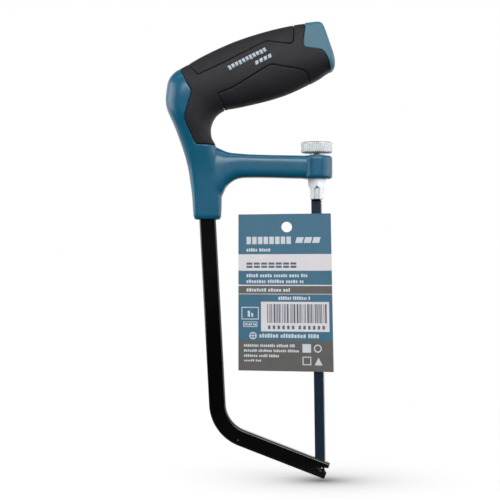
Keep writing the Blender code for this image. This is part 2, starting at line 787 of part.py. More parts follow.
make_handle()
make_end_cap()
make_cap_pin()
make_grip()
make_pad("palm_pad", PALM_PAD)
make_pad("finger_pad", FINGER_PAD)
make_tube()
make_socket_pins()
make_rod()
make_nut()
make_washer()
make_blade()
make_blade_pins()
make_tag()
make_glue_strip()
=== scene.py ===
"""Visual model of a mini hacksaw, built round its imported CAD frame.

The saw stands in the XZ plane on its nose: +Z up to the handle, +X towards the teeth, Y across.
Lengths in this file are millimetres, and MM turns them into the frame's metres.
"""

import math
import random

import bmesh
import bpy
from mathutils import Matrix, Vector
from mathutils.bvhtree import BVHTree


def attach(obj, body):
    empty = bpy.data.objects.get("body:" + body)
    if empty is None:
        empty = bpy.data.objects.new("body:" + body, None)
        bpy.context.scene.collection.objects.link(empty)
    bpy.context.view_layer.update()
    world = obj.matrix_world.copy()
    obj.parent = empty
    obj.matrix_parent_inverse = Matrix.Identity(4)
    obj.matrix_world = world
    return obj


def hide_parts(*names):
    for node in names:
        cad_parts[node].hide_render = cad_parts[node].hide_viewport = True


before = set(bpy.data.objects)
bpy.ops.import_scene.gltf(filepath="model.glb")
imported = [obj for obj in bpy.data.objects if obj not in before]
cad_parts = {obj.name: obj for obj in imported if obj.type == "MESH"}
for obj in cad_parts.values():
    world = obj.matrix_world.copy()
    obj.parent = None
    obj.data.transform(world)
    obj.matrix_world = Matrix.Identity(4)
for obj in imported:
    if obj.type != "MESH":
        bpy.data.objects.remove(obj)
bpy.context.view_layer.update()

MM = 0.001
GAP = 0.3
THROUGH = 40.0  # half the length of a cutter that passes right through the thickness

# -------- sizes shared with the frame
ROD_X = 35.4
UPPER_PIN = (34.95, 149.7)
LOWER_PIN = (37.0, 5.3)
TUBE_HALF = 4.4
TUBE_WALL = 1.3
TUBE_CORNER = 1.3
TUBE_TOP = (-23.6, 158.0)
TUBE_CORNER_POINT = (-16.56, 26.23)
NOSE_CENTRE = (40.45, 4.13)
BEND_RADIUS = 20.0
NOTCH_HALF = 1.05
CAP_PIN_AT = (22.2, 222.4)
SOCKET_PIN_HEIGHTS = (143.5, 151.5)
BLADE_THICKNESS = 0.65
BLADE_END = 2.8  # past the middle of each pin
BLADE_BACK = 2.6
BLADE_TIPS = 3.2
BLADE_SLOT = 0.65  # half its width
INCH = 25.4
TEETH_PER_INCH = 24
EYE_RADIUS = 1.1
BLADE_PIN_RADIUS = 0.8
CAP_PIN_RADIUS = 1.2
SOCKET_PIN_RADIUS = 1.5
ROD_RADIUS = 3.5
SHANK_RADIUS = 4.8  # to its corners
SQUARE_HOLE_RADIUS = 5.22  # to its corners
THREAD_RADIUS = 2.4
THREAD_PITCH = 0.8
NUT_RADIUS = 8.45
BOSS_RADIUS = 8.25
BOSS_LOW = 158.3
BOSS_HIGH = 170.6
CARD_LEFT = -6.2
CARD_RIGHT_LOW = 44.3
CARD_RIGHT_HIGH = 42.8
CARD_LOW = 57.0
CARD_HIGH = 139.5
CARD_FALL = 0.9  # how far the lower edge drops from left to right
CARD_RISE = 0.6  # how far the upper edge climbs from left to right
CARD_THICKNESS = 0.4
CARD_INNER = 0.65
HANG_HOLE = (19.4, 132.9)
HANG_HOLE_RADIUS = 2.8

# Handle loop: (outer edge X, Z; inner edge X, Z; half thickness; squareness)
LOOP_STATIONS = (
    (41.8, 231.5, 44.3, 224.6, 4.0, 2.6),
    (40.2, 235.4, 44.9, 220.8, 8.0, 2.8),
    (38.5, 239.6, 44.8, 217.3, 10.8, 3.0),
    (37.0, 241.2, 43.6, 215.6, 12.0, 3.0),
    (34.5, 241.4, 41.0, 214.2, 12.6, 3.0),
    (28.5, 240.7, 36.5, 211.0, 13.0, 2.8),
    (21.0, 239.6, 30.0, 207.6, 13.5, 2.6),
    (10.7, 237.3, 21.0, 203.4, 14.0, 2.5),
    (0.3, 234.3, 11.6, 200.2, 14.0, 2.5),
    (-9.0, 231.0, 2.5, 197.9, 14.0, 2.5),
    (-18.0, 227.1, -6.0, 196.0, 13.8, 2.5),
    (-26.6, 222.8, -12.5, 194.8, 13.5, 2.5),
    (-34.2, 218.3, -16.5, 192.6, 13.2, 2.5),
    (-40.0, 215.0, -18.6, 190.2, 12.8, 2.5),
    (-43.4, 210.6, -20.0, 187.3, 12.4, 2.6),
    (-44.6, 204.6, -20.6, 184.6, 12.0, 2.6),
    (-44.9, 199.2, -20.5, 182.0, 11.6, 2.7),
    (-43.7, 194.0, -20.0, 179.6, 11.0, 2.8),
    (-40.6, 187.0, -18.2, 176.4, 10.2, 2.9),
    (-38.0, 180.2, -16.8, 172.0, 9.4, 3.1),
    (-35.5, 173.0, -15.8, 166.0, 8.8, 3.4),
    (-33.25, 164.9, -15.2, 159.5, 8.2, 3.8),
    (-31.8, 156.5, -15.0, 152.5, 7.9, 4.4),
    (-30.8, 148.5, -14.8, 146.5, 7.7, 5.0),
    (-30.3, 141.0, -15.0, 140.4, 7.6, 5.6),
    (-30.0, 138.2, -15.2, 138.1, 7.5, 5.6),
    (-29.2, 136.8, -16.0, 136.8, 6.8, 5.6),
)
CORE_FIRST = 5
CORE_LAST = 19
CORE_HALF_HEIGHT = 6.0
CORE_HALF_WIDTH = 4.6
ARM_STATIONS = (
    (-29.5, 173.0, -27.0, 148.0, 6.5, 3.2),
    (-24.5, 175.2, -21.5, 146.4, 7.7, 3.2),
    (-19.5, 175.6, -16.8, 145.6, 7.7, 3.2),
    (-15.6, 174.1, -14.6, 149.6, 7.4, 3.4),
    (-12.4, 172.7, -12.6, 153.9, 7.1, 3.6),
    (-9.6, 172.1, -9.4, 156.9, 6.8, 3.8),
    (-5.4, 171.7, -5.6, 158.6, 6.5, 4.0),
    (1.0, 171.25, 0.5, 159.0, 6.3, 4.2),
    (12.0, 170.95, 12.0, 158.9, 6.3, 4.2),
    (24.0, 170.75, 24.0, 158.6, 6.3, 4.2),
    (ROD_X, 170.5, ROD_X, 158.5, 6.3, 4.2),
)
REAR_SEAM = (
    (-39.4, 221.0), (-36.9, 215.9), (-33.2, 208.4), (-31.1, 204.9), (-30.8, 203.2), (-32.3, 198.3),
    (-34.4, 190.7), (-34.1, 188.4), (-29.6, 178.4), (-29.1, 177.0), (-27.5, 176.2), (-17.9, 176.2),
    (-10.0, 176.2),
)
FRONT_SEAM = (
    (29.0, 246.0), (28.7, 236.0), (27.8, 230.4), (27.7, 228.2), (28.9, 226.7), (36.0, 225.9),
    (37.6, 225.4), (39.4, 223.7), (40.9, 221.1), (42.2, 215.8), (43.2, 209.0),
)
PALM_PAD = (
    (-36.4, 223.5), (-32.6, 218.8), (-27.4, 212.4), (-13.5, 218.9), (7.9, 230.0), (9.4, 230.2),
    (20.3, 228.6), (22.2, 228.9), (22.6, 230.5), (23.1, 246.0),
)
FINGER_PAD = (
    (-10.0, 188.0), (-13.4, 194.5), (-13.9, 196.9), (-16.7, 201.8), (-16.4, 202.5), (-9.0, 205.5),
    (-4.6, 208.1), (8.9, 216.5), (11.3, 217.5), (26.6, 215.0), (27.9, 214.5), (30.2, 212.8),
    (31.2, 208.8), (32.5, 202.0),
)
PAD_DEPTH = 2.0
INSET = 0.17  # keeps the smooth handle within the faceted one's box
SKIN_VOXEL = 0.36  # grain of the remeshed castings and mouldings


# -------- material nodes
def node(tree, kind, inputs=(), **settings):
    made = tree.nodes.new(kind)
    for name, value in settings.items():
        setattr(made, name, value)
    for name, value in dict(inputs).items():
        if isinstance(value, bpy.types.NodeSocket):
            tree.links.new(value, made.inputs[name])
        else:
            made.inputs[name].default_value = value
    return made


def noise(tree, scale, detail=3.0, roughness=0.5):
    where = node(tree, "ShaderNodeTexCoord").outputs["Object"]
    inputs = {"Vector": where, "Scale": scale, "Detail": detail, "Roughness": roughness}
    return node(tree, "ShaderNodeTexNoise", inputs).outputs["Fac"]


def dots(tree, scale):
    where = node(tree, "ShaderNodeTexCoord").outputs["Object"]
    return node(tree, "ShaderNodeTexVoronoi", {"Vector": where, "Scale": scale}).outputs["Distance"]


def ranged(tree, value, low, high, new_low=0.0, new_high=1.0):
    inputs = {"Value": value, "From Min": low, "From Max": high, "To Min": new_low, "To Max": new_high}
    return node(tree, "ShaderNodeMapRange", inputs).outputs["Result"]


def smoothstep(tree, value, low, high):
    inputs = {"Value": value, "From Min": low, "From Max": high}
    return node(tree, "ShaderNodeMapRange", inputs, interpolation_type="SMOOTHSTEP").outputs["Result"]


def combine(tree, operation, one, two):
    return node(tree, "ShaderNodeMath", {0: one, 1: two}, operation=operation).outputs[0]


def blend_colour(tree, factor, one, two):
    made = node(tree, "ShaderNodeMix", data_type="RGBA")
    tree.links.new(factor, made.inputs["Factor"])
    for socket, value in zip((made.inputs[6], made.inputs[7]), (one, two)):
        if isinstance(value, bpy.types.NodeSocket):
            tree.links.new(value, socket)
        else:
            socket.default_value = (*value, 1.0)
    return made.outputs[2]


def bump(tree, height, strength, distance, before=None):
    inputs = {"Height": height, "Strength": strength, "Distance": distance * MM}
    if before is not None:
        inputs["Normal"] = before
    return node(tree, "ShaderNodeBump", inputs).outputs["Normal"]


def scaled(colour, amount):
    return tuple(channel * amount for channel in colour)


def surface(
    name, colour, roughness, spread=0.05, variation=0.08, grain=None, patch=60.0,
    wear=None, fine=None, **constants,
):
    """A finish: its colour varies in soft patches, and its roughness by spread.
    grain is bumps (scale, strength, mm). wear is (colour, from, to) for the edges, where the pointiness
    passes from one to the other."""
    made = bpy.data.materials.new(name)
    made.use_nodes = True
    tree = made.node_tree
    shader = tree.nodes["Principled BSDF"]
    patches = noise(tree, patch, 4.0, 0.6)
    darker, lighter = scaled(colour, 1 - variation), scaled(colour, 1 + variation)
    tone = blend_colour(tree, ranged(tree, patches, 0.3, 0.7), darker, lighter)
    if wear is not None:
        worn, start, full = wear
        edge = node(tree, "ShaderNodeNewGeometry").outputs["Pointiness"]
        ragged = combine(tree, "ADD", edge, ranged(tree, noise(tree, 900.0), 0.3, 0.7, -0.01, 0.01))
        tone = blend_colour(tree, ranged(tree, ragged, start, full), tone, worn)
    tree.links.new(tone, shader.inputs["Base Color"])
    rough = ranged(tree, noise(tree, patch * 7.0, 5.0, 0.6), 0.3, 0.7, roughness - spread, roughness + spread)
    tree.links.new(rough, shader.inputs["Roughness"])
    if grain is not None:
        scale, strength, depth = grain
        normal = bump(tree, noise(tree, scale, 2.0), strength, depth)
        if fine is not None:
            normal = bump(tree, fine(tree), 0.6, fine.depth, normal)
        tree.links.new(normal, shader.inputs["Normal"])
    for key, value in constants.items():
        shader.inputs[key.replace("_", " ")].default_value = value
    return made


def stipple(scale, depth):
    def fine(tree):
        return ranged(tree, dots(tree, scale), 0.15, 0.55, 1.0, 0.0)
    fine.depth = depth
    return fine


RUBBER_WEAR = ((0.034, 0.032, 0.037), 0.54, 0.62)
RUBBER_SPECULAR = 0.28
CARD_GRAIN = (1400.0, 0.2, 0.015)
CARD_COAT = {"Coat_Weight": 0.1, "Coat_Roughness": 0.3}
PAINT = surface(
    "blue_paint_finish", (0.0018, 0.108, 0.200), 0.32, 0.04, grain=(420.0, 0.2, 0.015),
    wear=((0.012, 0.13, 0.23), 0.545, 0.62), Coat_Weight=0.2, Coat_Roughness=0.16,
)
# The end cap's blue is a lighter copy of the casting's blue: the extra lightness is a painted highlight for
# the light that its flat sides catch.
CAP_BLUE_WITH_PAINTED_HIGHLIGHT = surface(
    "blue_cap_painted_highlight", (0.055, 0.175, 0.25), 0.42, grain=(520.0, 0.2, 0.02),
    wear=((0.08, 0.2, 0.29), 0.56, 0.62),
)
GRIP = surface(
    "grip_finish", (0.0195, 0.0178, 0.0222), 0.56, 0.07, 0.12, (1500.0, 0.35, 0.05), 90.0,
    wear=RUBBER_WEAR, fine=stipple(2600.0, 0.02), Specular_IOR_Level=RUBBER_SPECULAR,
)
PALM = surface(
    "palm_pad_finish", (0.0188, 0.0172, 0.0212), 0.6, 0.07, 0.12, (1300.0, 0.4, 0.06), 80.0,
    wear=RUBBER_WEAR, Specular_IOR_Level=RUBBER_SPECULAR,
)
FINGER = surface(
    "finger_pad_finish", (0.022, 0.0205, 0.0255), 0.62, 0.08, 0.15, (900.0, 0.4, 0.06), 80.0,
    wear=((0.036, 0.034, 0.04), 0.54, 0.62), fine=stipple(1100.0, 0.16), Specular_IOR_Level=RUBBER_SPECULAR,
)
ZINC = surface("zinc_finish", (0.70, 0.74, 0.76), 0.38, 0.02, 0.02, Metallic=0.65)
DARK_PIN = surface(
    "dark_pin_finish", (0.07, 0.07, 0.075), 0.34, 0.08, 0.1, (1600.0, 0.2, 0.01), 300.0, Metallic=0.9
)
PIN = surface(
    "pin_steel_finish", (0.47, 0.48, 0.50), 0.32, 0.08, 0.08, (1600.0, 0.3, 0.02), 300.0, Metallic=1.0
)
BLADE = surface(
    "blade_finish", (0.0078, 0.021, 0.040), 0.32, 0.04, 0.15, None, 120.0, Specular_IOR_Level=0.35
)
TEETH = surface(
    "blade_teeth_finish", (0.012, 0.022, 0.035), 0.45, 0.06, 0.2, None, 300.0, Specular_IOR_Level=0.3
)
CARD_TEAL = surface("card_teal", (0.048, 0.165, 0.26), 0.46, 0.04, 0.05, CARD_GRAIN, 150.0, **CARD_COAT)
CARD_WHITE = surface("card_white", (0.80, 0.78, 0.81), 0.5, 0.04, 0.02, CARD_GRAIN, 150.0)
CARD_GREY = surface("card_grey", (0.128, 0.124, 0.118), 0.46, 0.04, 0.05, CARD_GRAIN, 150.0, **CARD_COAT)
CARD_EDGE = surface("card_edge", (0.62, 0.60, 0.56), 0.8, 0.05, 0.12, (2500.0, 0.6, 0.04), 700.0)
INK_PALE = surface("ink_pale", (0.68, 0.74, 0.78), 0.5, 0.04, 0.05, (1400.0, 0.2, 0.01), 300.0)
INK_DARK = surface("ink_dark", (0.10, 0.13, 0.18), 0.5, 0.04, 0.08, (1400.0, 0.2, 0.01), 300.0)
INK_GRIP = surface("grip_print", (0.50, 0.58, 0.66), 0.5, 0.05, 0.12, (1800.0, 0.4, 0.02), 600.0)
GLUE = surface("glue_finish", (0.72, 0.70, 0.62), 0.42, 0.1, 0.15, (260.0, 0.9, 0.12), 180.0)


def enamel():
    """Gloss black enamel with light orange peel, dust in the finish and one small chip near the bend."""
    chip_at = (-6.4 * MM, -TUBE_HALF * MM, 20.6 * MM)
    made = surface(
        "black_enamel_finish", (0.0022, 0.0022, 0.0026), 0.12, 0.04, 0.3, (330.0, 0.22, 0.03), 120.0,
        wear=((0.02, 0.02, 0.022), 0.56, 0.66), Coat_Weight=0.35, Coat_Roughness=0.08,
    )
    tree = made.node_tree
    shader = tree.nodes["Principled BSDF"]
    where = node(tree, "ShaderNodeTexCoord").outputs["Object"]
    away = node(tree, "ShaderNodeVectorMath", {0: where, 1: chip_at}, operation="DISTANCE").outputs["Value"]
    rough_edge = ranged(tree, noise(tree, 1500.0), 0.3, 0.7, -0.15 * MM, 0.15 * MM)
    ragged = combine(tree, "ADD", away, rough_edge)
    chip = ranged(tree, ragged, 0.55 * MM, 0.35 * MM)
    dust = ranged(tree, dots(tree, 160.0), 0.035, 0.02)
    marks = combine(tree, "MAXIMUM", chip, combine(tree, "MULTIPLY", dust, 0.35))
    under = shader.inputs["Base Color"].links[0].from_socket
    tree.links.new(blend_colour(tree, marks, under, (0.09, 0.09, 0.09)), shader.inputs["Base Color"])
    return made


ENAMEL = enamel()


# -------- mesh helpers
def keep(name, mesh, looks):
    obj = bpy.data.objects.new(name, mesh)
    bpy.context.scene.collection.objects.link(obj)
    for look in looks if isinstance(looks, (list, tuple)) else [looks]:
        mesh.materials.append(look)
    return obj


def from_bmesh(name, bm, looks):
    bmesh.ops.recalc_face_normals(bm, faces=bm.faces)
    mesh = bpy.data.meshes.new(name)
    bm.to_mesh(mesh)
    bm.free()
    return keep(name, mesh, looks)


def settle(obj):
    """Applies the object's modifiers to its mesh."""
    bpy.context.view_layer.update()
    graph = bpy.context.evaluated_depsgraph_get()
    mesh = bpy.data.meshes.new_from_object(obj.evaluated_get(graph))
    old = obj.data
    obj.modifiers.clear()
    obj.data = mesh
    bpy.data.meshes.remove(old)
    return obj


def boolean(obj, other, operation):
    """Applies the operation and removes the other object."""
    step = obj.modifiers.new("step", "BOOLEAN")
    step.operation = operation
    step.object = other
    step.solver = "EXACT"
    settle(obj)
    bpy.data.objects.remove(other)
    return obj


def cut(obj, other):
    return boolean(obj, other, "DIFFERENCE")


def join(obj, other):
    return boolean(obj, other, "UNION")


def within(obj, other):
    return boolean(obj, other, "INTERSECT")


def soft_skin(obj, voxel=SKIN_VOXEL, rounds=7):
    """Remeshes the piece finely and eases its edges, as on a casting or a moulding."""
    grid = obj.modifiers.new("grid", "REMESH")
    grid.mode = "VOXEL"
    grid.voxel_size = voxel * MM
    ease = obj.modifiers.new("ease", "SMOOTH")
    ease.factor = 0.5
    ease.iterations = rounds
    looks = list(obj.data.materials)
    settle(obj)
    obj.data.materials.clear()
    for look in looks:
        obj.data.materials.append(look)
    obj.data.shade_smooth()
    return obj


def shade(obj, angle=32.0):
    """Smooth shading, with a hard edge where two faces meet at more than the angle."""
    obj.data.shade_smooth()
    obj.data.set_sharp_from_angle(angle=math.radians(angle))
    return obj


def crisp(obj, width, angle):
    """A small bevel along the hard edges, then smooth shading that leaves wide flat faces flat."""
    step = obj.modifiers.new("edge", "BEVEL")
    step.width = width * MM
    step.segments = 2
    step.limit_method = "ANGLE"
    step.angle_limit = math.radians(angle)
    shade(settle(obj))
    step = obj.modifiers.new("normals", "WEIGHTED_NORMAL")
    step.keep_sharp = True
    return settle(obj)


def prism(name, outline, low=-THROUGH, high=THROUGH, looks=PIN):
    """An (X, Z) outline between two Y values."""
    bm = bmesh.new()
    front = [bm.verts.new((x * MM, low * MM, z * MM)) for x, z in outline]
    back = [bm.verts.new((x * MM, high * MM, z * MM)) for x, z in outline]
    faces = [bm.faces.new(front), bm.faces.new(back)]
    for k in range(len(outline)):
        n = (k + 1) % len(outline)
        bm.faces.new((front[k], front[n], back[n], back[k]))
    bmesh.ops.triangulate(bm, faces=faces)
    return from_bmesh(name, bm, looks)


def block(name, low, high, turn=None, looks=PIN):
    bm = bmesh.new()
    bmesh.ops.create_cube(bm, size=1.0)
    low, high = Vector(low), Vector(high)
    bmesh.ops.scale(bm, vec=(high - low) * MM, verts=bm.verts)
    bmesh.ops.translate(bm, vec=(low + high) / 2 * MM, verts=bm.verts)
    if turn is not None:
        bmesh.ops.transform(bm, matrix=turn, verts=bm.verts)
    return from_bmesh(name, bm, looks)


def lathe(name, profile, start, direction=(0, 0, 1), steps=96, looks=PIN, ripple=None):
    """Turns a (radius, height) profile about the line from start along direction.
    A profile whose ends are both off the axis closes on itself, as a ring.
    ripple(k, steps, radius, height) may change a radius."""
    quat = Vector(direction).to_track_quat("Z", "Y")
    start = Vector(start)
    bm = bmesh.new()
    rows = []
    for radius, height in profile:
        if radius < 1e-6:
            rows.append([bm.verts.new((start + quat @ Vector((0, 0, height))) * MM)])
            continue
        row = []
        for k in range(steps):
            turn = 2 * math.pi * k / steps
            reach = ripple(k, steps, radius, height) if ripple else radius
            point = Vector((reach * math.cos(turn), reach * math.sin(turn), height))
            row.append(bm.verts.new((start + quat @ point) * MM))
        rows.append(row)
    pairs = list(zip(rows, rows[1:]))
    if len(rows[0]) > 1 and len(rows[-1]) > 1:
        pairs.append((rows[-1], rows[0]))
    for one, two in pairs:
        for k in range(steps):
            n = (k + 1) % steps
            if len(one) == 1:
                bm.faces.new((one[0], two[k], two[n]))
            elif len(two) == 1:
                bm.faces.new((one[k], two[0], one[n]))
            else:
                bm.faces.new((one[k], two[k], two[n], one[n]))
    return shade(from_bmesh(name, bm, looks))


def cross_bore(name, at, radius, half_length, steps=32, looks=PIN):
    """A plain cylinder along Y through (X, Z), for a cutter."""
    profile = [(0.0, -half_length), (radius, -half_length), (radius, half_length), (0.0, half_length)]
    return lathe(name, profile, (at[0], 0, at[1]), (0, 1, 0), steps, looks)


def soften(points, reach, steps=4):
    """The line with each of its inner corners rounded, reach along both of its sides."""
    points = [Vector(point) for point in points]
    found = [tuple(points[0])]
    for before, here, after in zip(points, points[1:], points[2:]):
        start = here + (before - here).normalized() * min(reach, (before - here).length * 0.45)
        end = here + (after - here).normalized() * min(reach, (after - here).length * 0.45)
        for k in range(steps + 1):
            t = k / steps
            found.append(tuple(start * (1 - t) ** 2 + here * 2 * t * (1 - t) + end * t * t))
    return found + [tuple(points[-1])]


def offset(points, distance):
    """An open outline moved to the left of its direction."""
    points = [Vector(point) for point in points]
    moved = []
    for i, point in enumerate(points):
        before = (point - points[i - 1]).normalized() if i else None
        after = (points[i + 1] - point).normalized() if i < len(points) - 1 else before
        before = before or after
        normals = [Vector((-d.y, d.x)) for d in (before, after)]
        mean = (normals[0] + normals[1]).normalized()
        moved.append(tuple(point + mean * distance / max(mean.dot(normals[0]), 0.5)))
    return moved


def along(before, here, there, after, t):
    return tuple(
        b + 0.5 * t * (c - a + t * (2 * a - 5 * b + 4 * c - d + t * (3 * (b - c) + d - a)))
        for a, b, c, d in zip(before, here, there, after)
    )


def smoothed(stations, steps):
    last = len(stations) - 1
    found = []
    for i in range(last):
        near = [stations[min(max(i + k, 0), last)] for k in (-1, 0, 1, 2)]
        found += [along(*near, step / steps) for step in range(steps)]
    return found + [stations[last]]


def power(value, exponent):
    return math.copysign(abs(value) ** exponent, value)


def section(station, shrink, points=96):
    ax, az, bx, bz, half_width, squareness = station
    middle = Vector(((ax + bx) / 2, 0.0, (az + bz) / 2))
    half = Vector(((ax - bx) / 2, 0.0, (az - bz) / 2))
    half *= (half.length - shrink) / half.length
    ring = []
    for k in range(points):
        turn = 2 * math.pi * (k + 0.5) / points
        across = power(math.cos(turn), 2 / squareness)
        out = power(math.sin(turn), 2 / squareness)
        ring.append(middle + half * across + Vector((0.0, (half_width - shrink) * out, 0.0)))
    return ring


def loft(name, rings, looks):
    bm = bmesh.new()
    rows = [[bm.verts.new(point * MM) for point in ring] for ring in rings]
    for one, two in zip(rows, rows[1:]):
        for k in range(len(one)):
            n = (k + 1) % len(one)
            bm.faces.new((one[k], one[n], two[n], two[k]))
    bm.faces.new(rows[0])
    bm.faces.new(list(reversed(rows[-1])))
    return from_bmesh(name, bm, looks)


def handle_loop(name, shrink=0.0, looks=PIN, squarer=0.0, steps=6):
    stations = [(*s[:5], s[5] + squarer) for s in smoothed(LOOP_STATIONS, steps)]
    first = 1 if shrink > 1 else 0
    return loft(name, [section(station, shrink + INSET) for station in stations[first:]], looks)


def core_bar(name, grow):
    rings = []
    for ax, az, bx, bz, _, _ in smoothed(LOOP_STATIONS[CORE_FIRST : CORE_LAST + 1], 3):
        middle = Vector(((ax + bx) / 2, 0.0, (az + bz) / 2))
        half = Vector(((ax - bx) / 2, 0.0, (az - bz) / 2)).normalized() * (CORE_HALF_HEIGHT + grow)
        side = Vector((0.0, CORE_HALF_WIDTH + grow, 0.0))
        rings.append([middle + half + side, middle + half - side, middle - half - side, middle - half + side])
    return loft(name, rings, PIN)


# -------- handle
REAR_LINE = soften(REAR_SEAM, 1.1)
FRONT_LINE = soften(FRONT_SEAM, 0.7)
PALM_LINE = soften(PALM_PAD, 0.9)
FINGER_LINE = soften(FINGER_PAD, 0.9)
SEAM = 0.12  # each side of a seam, before the edges are eased


def tenon(name, grow):
    """The end cap's tongue, along the core bar from behind its pin."""
    middle = Vector((CAP_PIN_AT[0], 0.0, CAP_PIN_AT[1])) * MM
    where = Matrix.Translation(middle) @ Matrix.Rotation(-math.radians(17.8), 4, "Y")
    return block(name, (-4.5 - grow, -1.6 - grow, -3.2 - grow), (13.5 + grow, 1.6 + grow, 3.2 + grow), where)


def boss_solid():
    side = [(0.0, BOSS_LOW), (BOSS_RADIUS, BOSS_LOW), (BOSS_RADIUS, BOSS_HIGH), (0.0, BOSS_HIGH)]
    return lathe("boss_solid", soften(side, 1.7, 6), (ROD_X, 0, 0), looks=PAINT)


def make_casting():
    region = offset(REAR_LINE, -SEAM) + [(-10.0, 130.0), (-60.0, 130.0), (-60.0, 225.0)]
    body = handle_loop("saw_casting", looks=PAINT)
    within(body, prism("region", region))
    join(body, core_bar("core", 0.0))
    join(body, loft("arm", [section(s, 0.0) for s in smoothed(ARM_STATIONS, 6)], PAINT))
    join(body, boss_solid())
    square = [(0.0, 150.0), (SQUARE_HOLE_RADIUS, 150.0), (SQUARE_HOLE_RADIUS, 166.5), (0.0, 166.5)]
    cut(body, lathe("square_hole", square, (ROD_X, 0, 0), steps=4))
    recess = [(0.0, 160.0), (2.7, 160.0), (2.7, 169.2), (5.5, 169.2), (5.5, 180.0), (0.0, 180.0)]
    cut(body, lathe("rod_hole", recess, (ROD_X, 0, 0)))
    cut(body, tube_solid("socket", TUBE_HALF + GAP, TUBE_CORNER, GAP, 0.0))
    for height in SOCKET_PIN_HEIGHTS:
        cut(body, pin_solid("pin_hole", height, 1.6, 12.0))
    cut(body, tenon("tenon_slot", GAP))
    cut(body, cross_bore("cap_pin_bore", CAP_PIN_AT, CAP_PIN_RADIUS + GAP, 5.6))
    soft_skin(body, 0.34, 5)
    return ease_near(body, (-17.5, 161.0), 17.0, 4.5, 50)


def ease_near(obj, at, reach, depth, rounds):
    """Smooths both sides of the piece round a place (X, Z), fading out by reach and towards the mid plane."""
    group = obj.vertex_groups.new(name="ease")
    for vertex in obj.data.vertices:
        x, y, z = vertex.co / MM
        fade = 1.0 - math.hypot(x - at[0], z - at[1]) / reach
        out = (abs(y) - depth) / 1.5
        weight = max(0.0, min(1.0, fade * 2.0)) * max(0.0, min(1.0, out))
        if weight > 0.0:
            group.add([vertex.index], weight, "REPLACE")
    step = obj.modifiers.new("ease", "SMOOTH")
    step.factor = 0.5
    step.iterations = rounds
    step.vertex_group = "ease"
    settle(obj)
    return obj


def make_cap():
    region = offset(FRONT_LINE, SEAM) + [(60.0, 209.0), (60.0, 246.0)]
    cap = handle_loop("saw_end_cap", looks=CAP_BLUE_WITH_PAINTED_HIGHLIGHT, squarer=1.2)
    within(cap, prism("region", region))
    within(cap, block("flats", (0.0, -11.7, 200.0), (60.0, 11.7, 260.0)))
    cut(cap, core_bar("pocket", GAP))
    join(cap, tenon("tenon", 0.0))
    cut(cap, cross_bore("tenon_bore", CAP_PIN_AT, CAP_PIN_RADIUS + GAP, 5.6))
    return soft_skin(cap, 0.3, 3)


def pad_pocket(outline):
    return cut(prism("pocket", outline), handle_loop("floor", PAD_DEPTH + GAP))


def make_sleeve():
    gap_side = [(-6.0, 176.2), (2.0, 186.0), (46.0, 190.0)]
    region = list(REAR_LINE) + gap_side + list(reversed(FRONT_LINE)) + [(29.0, 252.0), (-45.0, 252.0)]
    sleeve = handle_loop("saw_grip_sleeve", looks=GRIP)
    within(sleeve, prism("region", region))
    cut(sleeve, pad_pocket(offset(PALM_LINE, -0.16)))
    cut(sleeve, pad_pocket(offset(FINGER_LINE, 0.16)))
    cut(sleeve, core_bar("bore", GAP))
    cut(sleeve, tenon("tenon_bore", GAP))
    return soft_skin(sleeve)


def make_pad(name, outline, look):
    pad = handle_loop(name, 0.08, looks=look)
    within(pad, prism("region", outline))
    cut(pad, handle_loop("inside", PAD_DEPTH))
    return soft_skin(pad, rounds=6)


# -------- tube
def tube_path(extra_top, extra_nose, steps=28):
    """Points and inward normals of the tube's centre line, from the socket to the nose."""
    top, corner, nose = (Vector(point) for point in (TUBE_TOP, TUBE_CORNER_POINT, NOSE_CENTRE))
    down = (corner - top).normalized()
    out = (nose - corner).normalized()
    turn = down.angle(out)
    start = corner - down * BEND_RADIUS * math.tan(turn / 2)
    inward = Vector((-down.y, down.x))
    centre = start + inward * BEND_RADIUS
    path = [(top - down * extra_top, inward)]
    path += [(top + (start - top) * k / 6, inward) for k in range(1, 6)]
    for k in range(steps + 1):
        spoke = Matrix.Rotation(turn * k / steps, 2) @ (-inward)
        path.append((centre + spoke * BEND_RADIUS, -spoke))
    last_inward = Vector((-out.y, out.x))
    bend_end = path[-1][0]
    path += [(bend_end + (nose - bend_end) * k / 4, last_inward) for k in range(1, 4)]
    return path + [(nose + out * extra_nose, last_inward)]


def rounded_square(half, corner, steps=6):
    """(across, out) points round a square section with rounded corners."""
    corner = max(corner, 0.02)
    centres = [(1, 1), (-1, 1), (-1, -1), (1, -1)]
    ring = []
    for quarter, (sx, sy) in enumerate(centres):
        for k in range(steps + 1):
            turn = math.pi / 2 * (quarter + k / steps)
            across = (half - corner) * sx + corner * math.cos(turn)
            ring.append((across, (half - corner) * sy + corner * math.sin(turn)))
    return ring


def swept_rings(half, corner, extra_top, extra_nose):
    square = rounded_square(half, corner)
    rings = []
    for point, inward in tube_path(extra_top, extra_nose):
        rings.append([Vector((point.x + inward.x * a, b, point.y + inward.y * a)) for a, b in square])
    return rings


def tube_solid(name, half, corner, extra_top, extra_nose, looks=PIN):
    return loft(name, swept_rings(half, corner, extra_top, extra_nose), looks)


def nose_frame():
    out = (Vector(NOSE_CENTRE) - Vector(TUBE_CORNER_POINT)).normalized()
    turn = Matrix(((out.x, 0, out.y), (0, 1, 0), (-out.y, 0, out.x))).transposed().to_4x4()
    return Matrix.Translation(Vector((NOSE_CENTRE[0], 0, NOSE_CENTRE[1])) * MM) @ turn


def pin_solid(name, height, radius, end, looks=PIN):
    """A socket pin from inside the tube's back wall out to Y = end."""
    top, corner = Vector(TUBE_TOP), Vector(TUBE_CORNER_POINT)
    x = top.x + (height - top.y) * (corner.x - top.x) / (corner.y - top.y)
    start = 2.5
    length = end - start
    side = [(radius - 0.2, 0.0), (radius, 0.2), (radius, length - 0.35), (radius - 0.35, length)]
    profile = [(0.0, 0.0)] + soften(side, 0.1, 2) + [(0.0, length)]
    return lathe(name, profile, (x, start, height), (0, 1, 0), 40, looks)


